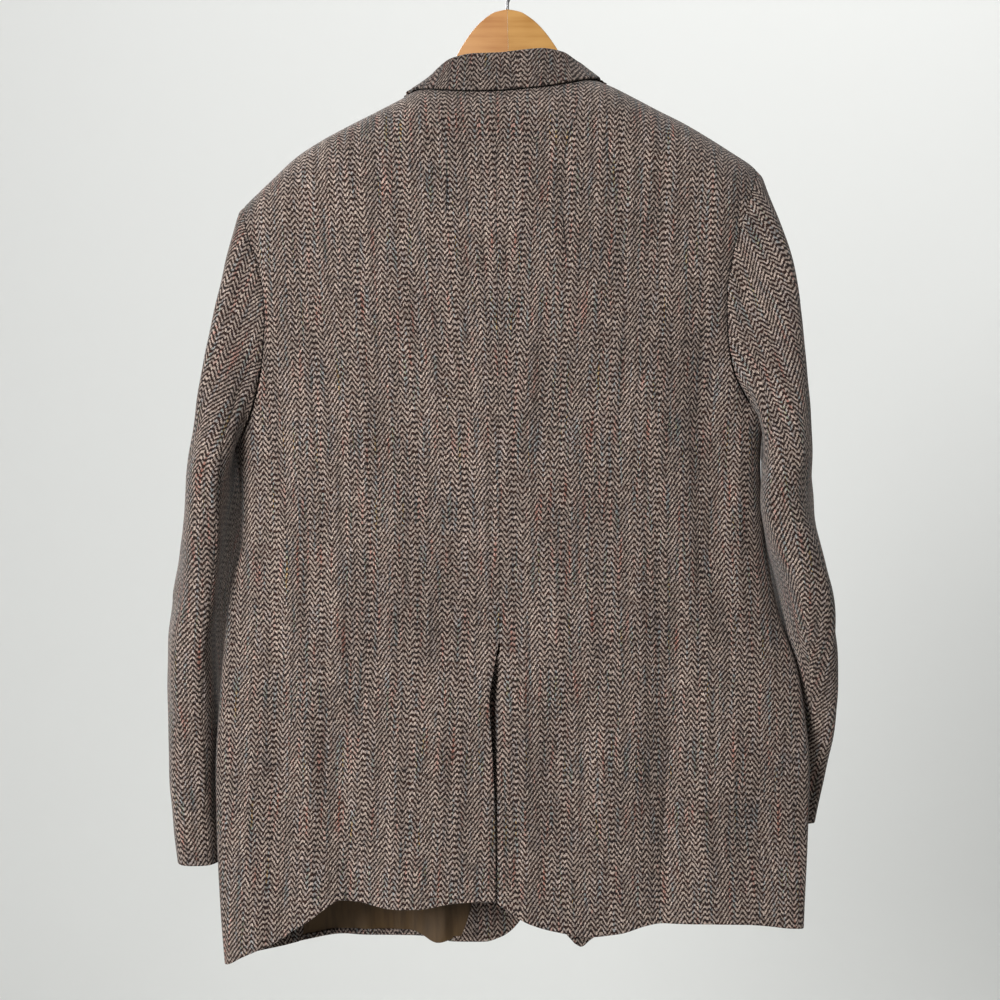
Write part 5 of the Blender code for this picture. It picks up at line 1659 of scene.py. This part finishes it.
def make_tweed(name, tone):
    """Woven herringbone: light warp over dark weft, drawn thread by thread from the chart."""
    shade = Shading(name)
    across, along = shade.cloth_place()
    stray = shade.noise(shade.vector(across, along), STRAY_SCALE, STRAY_DETAIL, STRAY_ROUGH, output="Color")
    stray_across, stray_along = (part - 0.5 for part in shade.split(stray))
    thread = (across - WEAVE_START + stray_across * WANDER_ACROSS) / WARP_PITCH
    number = thread.floor()
    uneven = shade.patches("uneven", number, along) - 0.5
    pick = (along + stray_along * WANDER_ALONG) / PICK_PITCH + uneven * UNEVEN
    step, float_number = twill_step(shade, number, pick)

    fibres = shade.patches("fibres", across, along)
    from_float = shade.math("ABSOLUTE", step - 0.5) * TWILL + (fibres - 0.5) * FUZZ
    warp_up = from_float.spread(*WARP_SHOWS, soft=True)
    weft_up = 1 - warp_up
    warp_round, weft_round = round_yarn(thread), round_yarn(pick)

    warp = warp_colour(shade, number, along, float_number)
    slub = shade.patches("slub", across, along).spread(*SLUB_SHOWS, 0.0, SLUB_STRENGTH, soft=True)
    warp = shade.blend(slub, warp, SLUB_COLOUR)
    weft_hue = shade.patches("weft_hue", across, pick.floor()).spread(*MIDDLING)
    colour = shade.blend(warp_up, shade.ramp(weft_hue, WEFT_COLOURS), warp)
    # painted shade: each yarn is darker at its sides and lighter along its middle, and all of it darker on
    # the collar by tone
    painted_side_shade, painted_middle_highlight = PAINTED_YARN_SHADE
    yarn = warp_up * warp_round + weft_up * weft_round
    level = yarn.spread(0.0, 1.0, painted_side_shade * tone, painted_middle_highlight * tone)
    level = level * shade.patches("cloud", across, along).spread(*MIDDLING, *CLOUD_LIGHT)
    level = level * shade.patches("streak", across, along).spread(*MIDDLING, *STREAK_LIGHT)

    height = warp_up * (warp_round * WARP_ROUND + WARP_HEIGHT) + weft_up * (weft_round * WEFT_ROUND)
    shade.bump(height + fibres * FIBRE_HEIGHT, *TWEED_RELIEF)
    shade.finish(shade.lit(colour, level), Roughness=0.92, Specular_IOR_Level=0.15,
                 Sheen_Weight=0.12, Sheen_Roughness=0.45)


def chart(curve):
    """Draws the herringbone's climbs and falls into a curve from 0 to 1 each way."""
    line = curve.mapping.curves[0]
    level, thread = 0, 0
    spots = [(0.0, 0.0)]
    for run in HERRINGBONE:
        level += run
        thread += abs(run)
        spots.append((thread / THREADS, level / max(HERRINGBONE)))
    for point, spot in zip(line.points, (spots[0], spots[-1])):
        point.location = spot
    for spot in spots[1:-1]:
        line.points.new(*spot)
    for point in line.points:
        point.handle_type = "VECTOR"
    curve.mapping.update()


def make_lining():
    """Brown twill lining, softly crumpled."""
    shade = Shading("lining")
    across, along = shade.cloth_place()
    colour = shade.ramp(shade.patches("lining", across, along), LINING_COLOURS)
    twill = ((across + along) / LINING_TWILL).fraction()
    shade.bump(twill * LINING_TWILL_HEIGHT + shade.patches("crumple", across, along), *LINING_RELIEF)
    shade.finish(colour, Roughness=0.55, Specular_IOR_Level=0.25, Sheen_Weight=0.05, Sheen_Roughness=0.3)


def make_wood(name, pale, deep):
    """Varnished beech with slanting grain."""
    shade = Shading(name)
    place = shade.node("Attribute", {}, "Vector", attribute_name="grain")
    turned = {"Vector": place, "Rotation": (0.0, GRAIN_SLANT, 0.0), "Scale": GRAIN_SCALE}
    lines = shade.noise(shade.node("Mapping", turned), 1.0, 4.0, 0.6)
    wide = shade.noise(place, WIDE_GRAIN)
    middle = tuple(mix(a, b, WOOD_MIDDLE) for a, b in zip(pale, deep))
    tone = lines * FINE_SHARE + wide * WIDE_SHARE
    colour = shade.ramp(tone, list(zip(WOOD_STOPS, (deep, middle, pale))))
    shade.bump(lines, *WOOD_RELIEF)
    shade.finish(colour, Roughness=0.45, Specular_IOR_Level=0.3, Coat_Weight=0.1, Coat_Roughness=0.25)


def make_speckled(name, scale, detail, rough, colours, **values):
    """Horn and thread: a mottled colour through and through."""
    shade = Shading(name)
    speckle = shade.noise(shade.node("TexCoord", {}, "Object"), scale, detail, rough)
    shade.finish(shade.ramp(speckle, colours), **values)


def make_steel():
    """Polished wire, a little scratched."""
    shade = Shading("steel")
    scratch = shade.noise(shade.node("TexCoord", {}, "Object"), 900.0, 3.0)
    shade.finish(STEEL_COLOUR, Metallic=1.0, Roughness=scratch.spread(*MIDDLING, 0.2, 0.34))


def make_materials():
    make_tweed("tweed", 1.0)
    # painted shade: the collar's darker copy of the tweed
    make_tweed("tweed_collar", COLLAR_PAINTED_SHADE)
    make_lining()
    for side_name, (pale, deep) in WOOD_COLOURS.items():
        make_wood("wood_" + side_name, pale, deep)
    make_steel()
    make_speckled("horn", 160.0, 4.0, 0.6, HORN_COLOURS, Roughness=0.3, Coat_Weight=0.3, Coat_Roughness=0.12)
    make_speckled("thread", 2500.0, 2.0, 0.5, THREAD_COLOURS, Roughness=0.85)
    Shading("backdrop").finish(BACKDROP_COLOUR, Roughness=0.95, Specular_IOR_Level=0.1)


# ---- stage, camera and light
CAMERA_PLACE = (-0.003, -1.56, -0.5335)
CAMERA_LENS, CAMERA_SENSOR = 57.44, 36.0
FLOOR, FLOOR_FROM, WALL_AT, WALL_TOP, BEND, STAGE_HALF = -2.3, -9.0, 3.2, 6.0, 0.3, 8.0
# soft boxes: where they stand, what they face, how large they are and how strong
LAMPS = table("name place target size power", [
    ("key", (-1.25, -2.3, 0.05), (0.0, 0.0, -0.55), 0.9, 96.0),
    ("front", (-0.9, 2.2, 0.5), (0.0, 0.0, -0.5), 1.6, 62.0),
    ("wall_left", (-1.3, 0.6, 2.8), (-1.0, 3.2, -0.3), 2.2, 37.0),
    ("wall_right", (1.7, 0.6, 2.8), (1.6, 3.2, -0.3), 2.2, 76.0),
])
WORLD_LIGHT, WORLD_COLOUR = 0.16, (1.0, 0.995, 0.98, 1.0)


def make_stage():
    """A pale floor that bends up into a pale wall far behind the jacket."""
    profile = [(FLOOR_FROM, FLOOR), (WALL_AT - BEND, FLOOR)]
    for turn in np.linspace(0, math.pi / 2, 14)[1:]:
        profile.append((WALL_AT - BEND + BEND * math.sin(turn), FLOOR + BEND * (1 - math.cos(turn))))
    profile.append((WALL_AT, WALL_TOP))
    spots = [(x, y, z) for y, z in profile for x in (-STAGE_HALF, STAGE_HALF)]
    faces = [(2 * i, 2 * i + 1, 2 * i + 3, 2 * i + 2) for i in range(len(profile) - 1)]
    made = add_mesh("backdrop", spots, faces, "backdrop")
    made.data.shade_smooth()


def make_camera_and_light():
    view = bpy.data.cameras.new("camera")
    view.lens, view.sensor_width = CAMERA_LENS, CAMERA_SENSOR
    camera = bpy.data.objects.new("camera", view)
    camera.location = CAMERA_PLACE
    camera.rotation_euler = (math.radians(90), 0.0, 0.0)
    bpy.context.scene.collection.objects.link(camera)
    bpy.context.scene.camera = camera
    for lamp in LAMPS:
        light = bpy.data.lights.new(lamp.name, "AREA")
        light.shape, light.size, light.energy = "SQUARE", lamp.size, lamp.power
        made = bpy.data.objects.new(lamp.name, light)
        made.location = lamp.place
        toward = Vector(lamp.target) - Vector(lamp.place)
        made.rotation_euler = toward.to_track_quat("-Z", "Y").to_euler()
        bpy.context.scene.collection.objects.link(made)
    world = bpy.data.worlds.new("studio")
    world.use_nodes = True
    background = world.node_tree.nodes["Background"]
    background.inputs["Color"].default_value = WORLD_COLOUR
    background.inputs["Strength"].default_value = WORLD_LIGHT
    bpy.context.scene.world = world
    bpy.context.scene.view_settings.view_transform = "Standard"


# ---- all of it
def main():
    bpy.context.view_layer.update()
    make_materials()
    for side in (LEFT, RIGHT):
        make_back(side)
        make_side(side)
        make_front(side)
        make_lapel(side)
        make_flap(side)
        make_sleeve(side)
        make_hanger(side)
    make_inside_front()
    make_collar()
    for number, height in enumerate(BUTTON_HEIGHTS, 1):
        make_button(number, height)
    make_hook()
    make_stage()
    make_camera_and_light()
    bpy.context.view_layer.update()


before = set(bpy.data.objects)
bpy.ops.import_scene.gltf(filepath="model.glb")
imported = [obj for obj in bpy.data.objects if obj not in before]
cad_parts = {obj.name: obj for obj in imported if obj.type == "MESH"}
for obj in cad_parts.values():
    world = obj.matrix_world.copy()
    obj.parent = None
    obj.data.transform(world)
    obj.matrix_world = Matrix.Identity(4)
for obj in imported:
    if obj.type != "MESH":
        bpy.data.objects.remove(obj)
main()
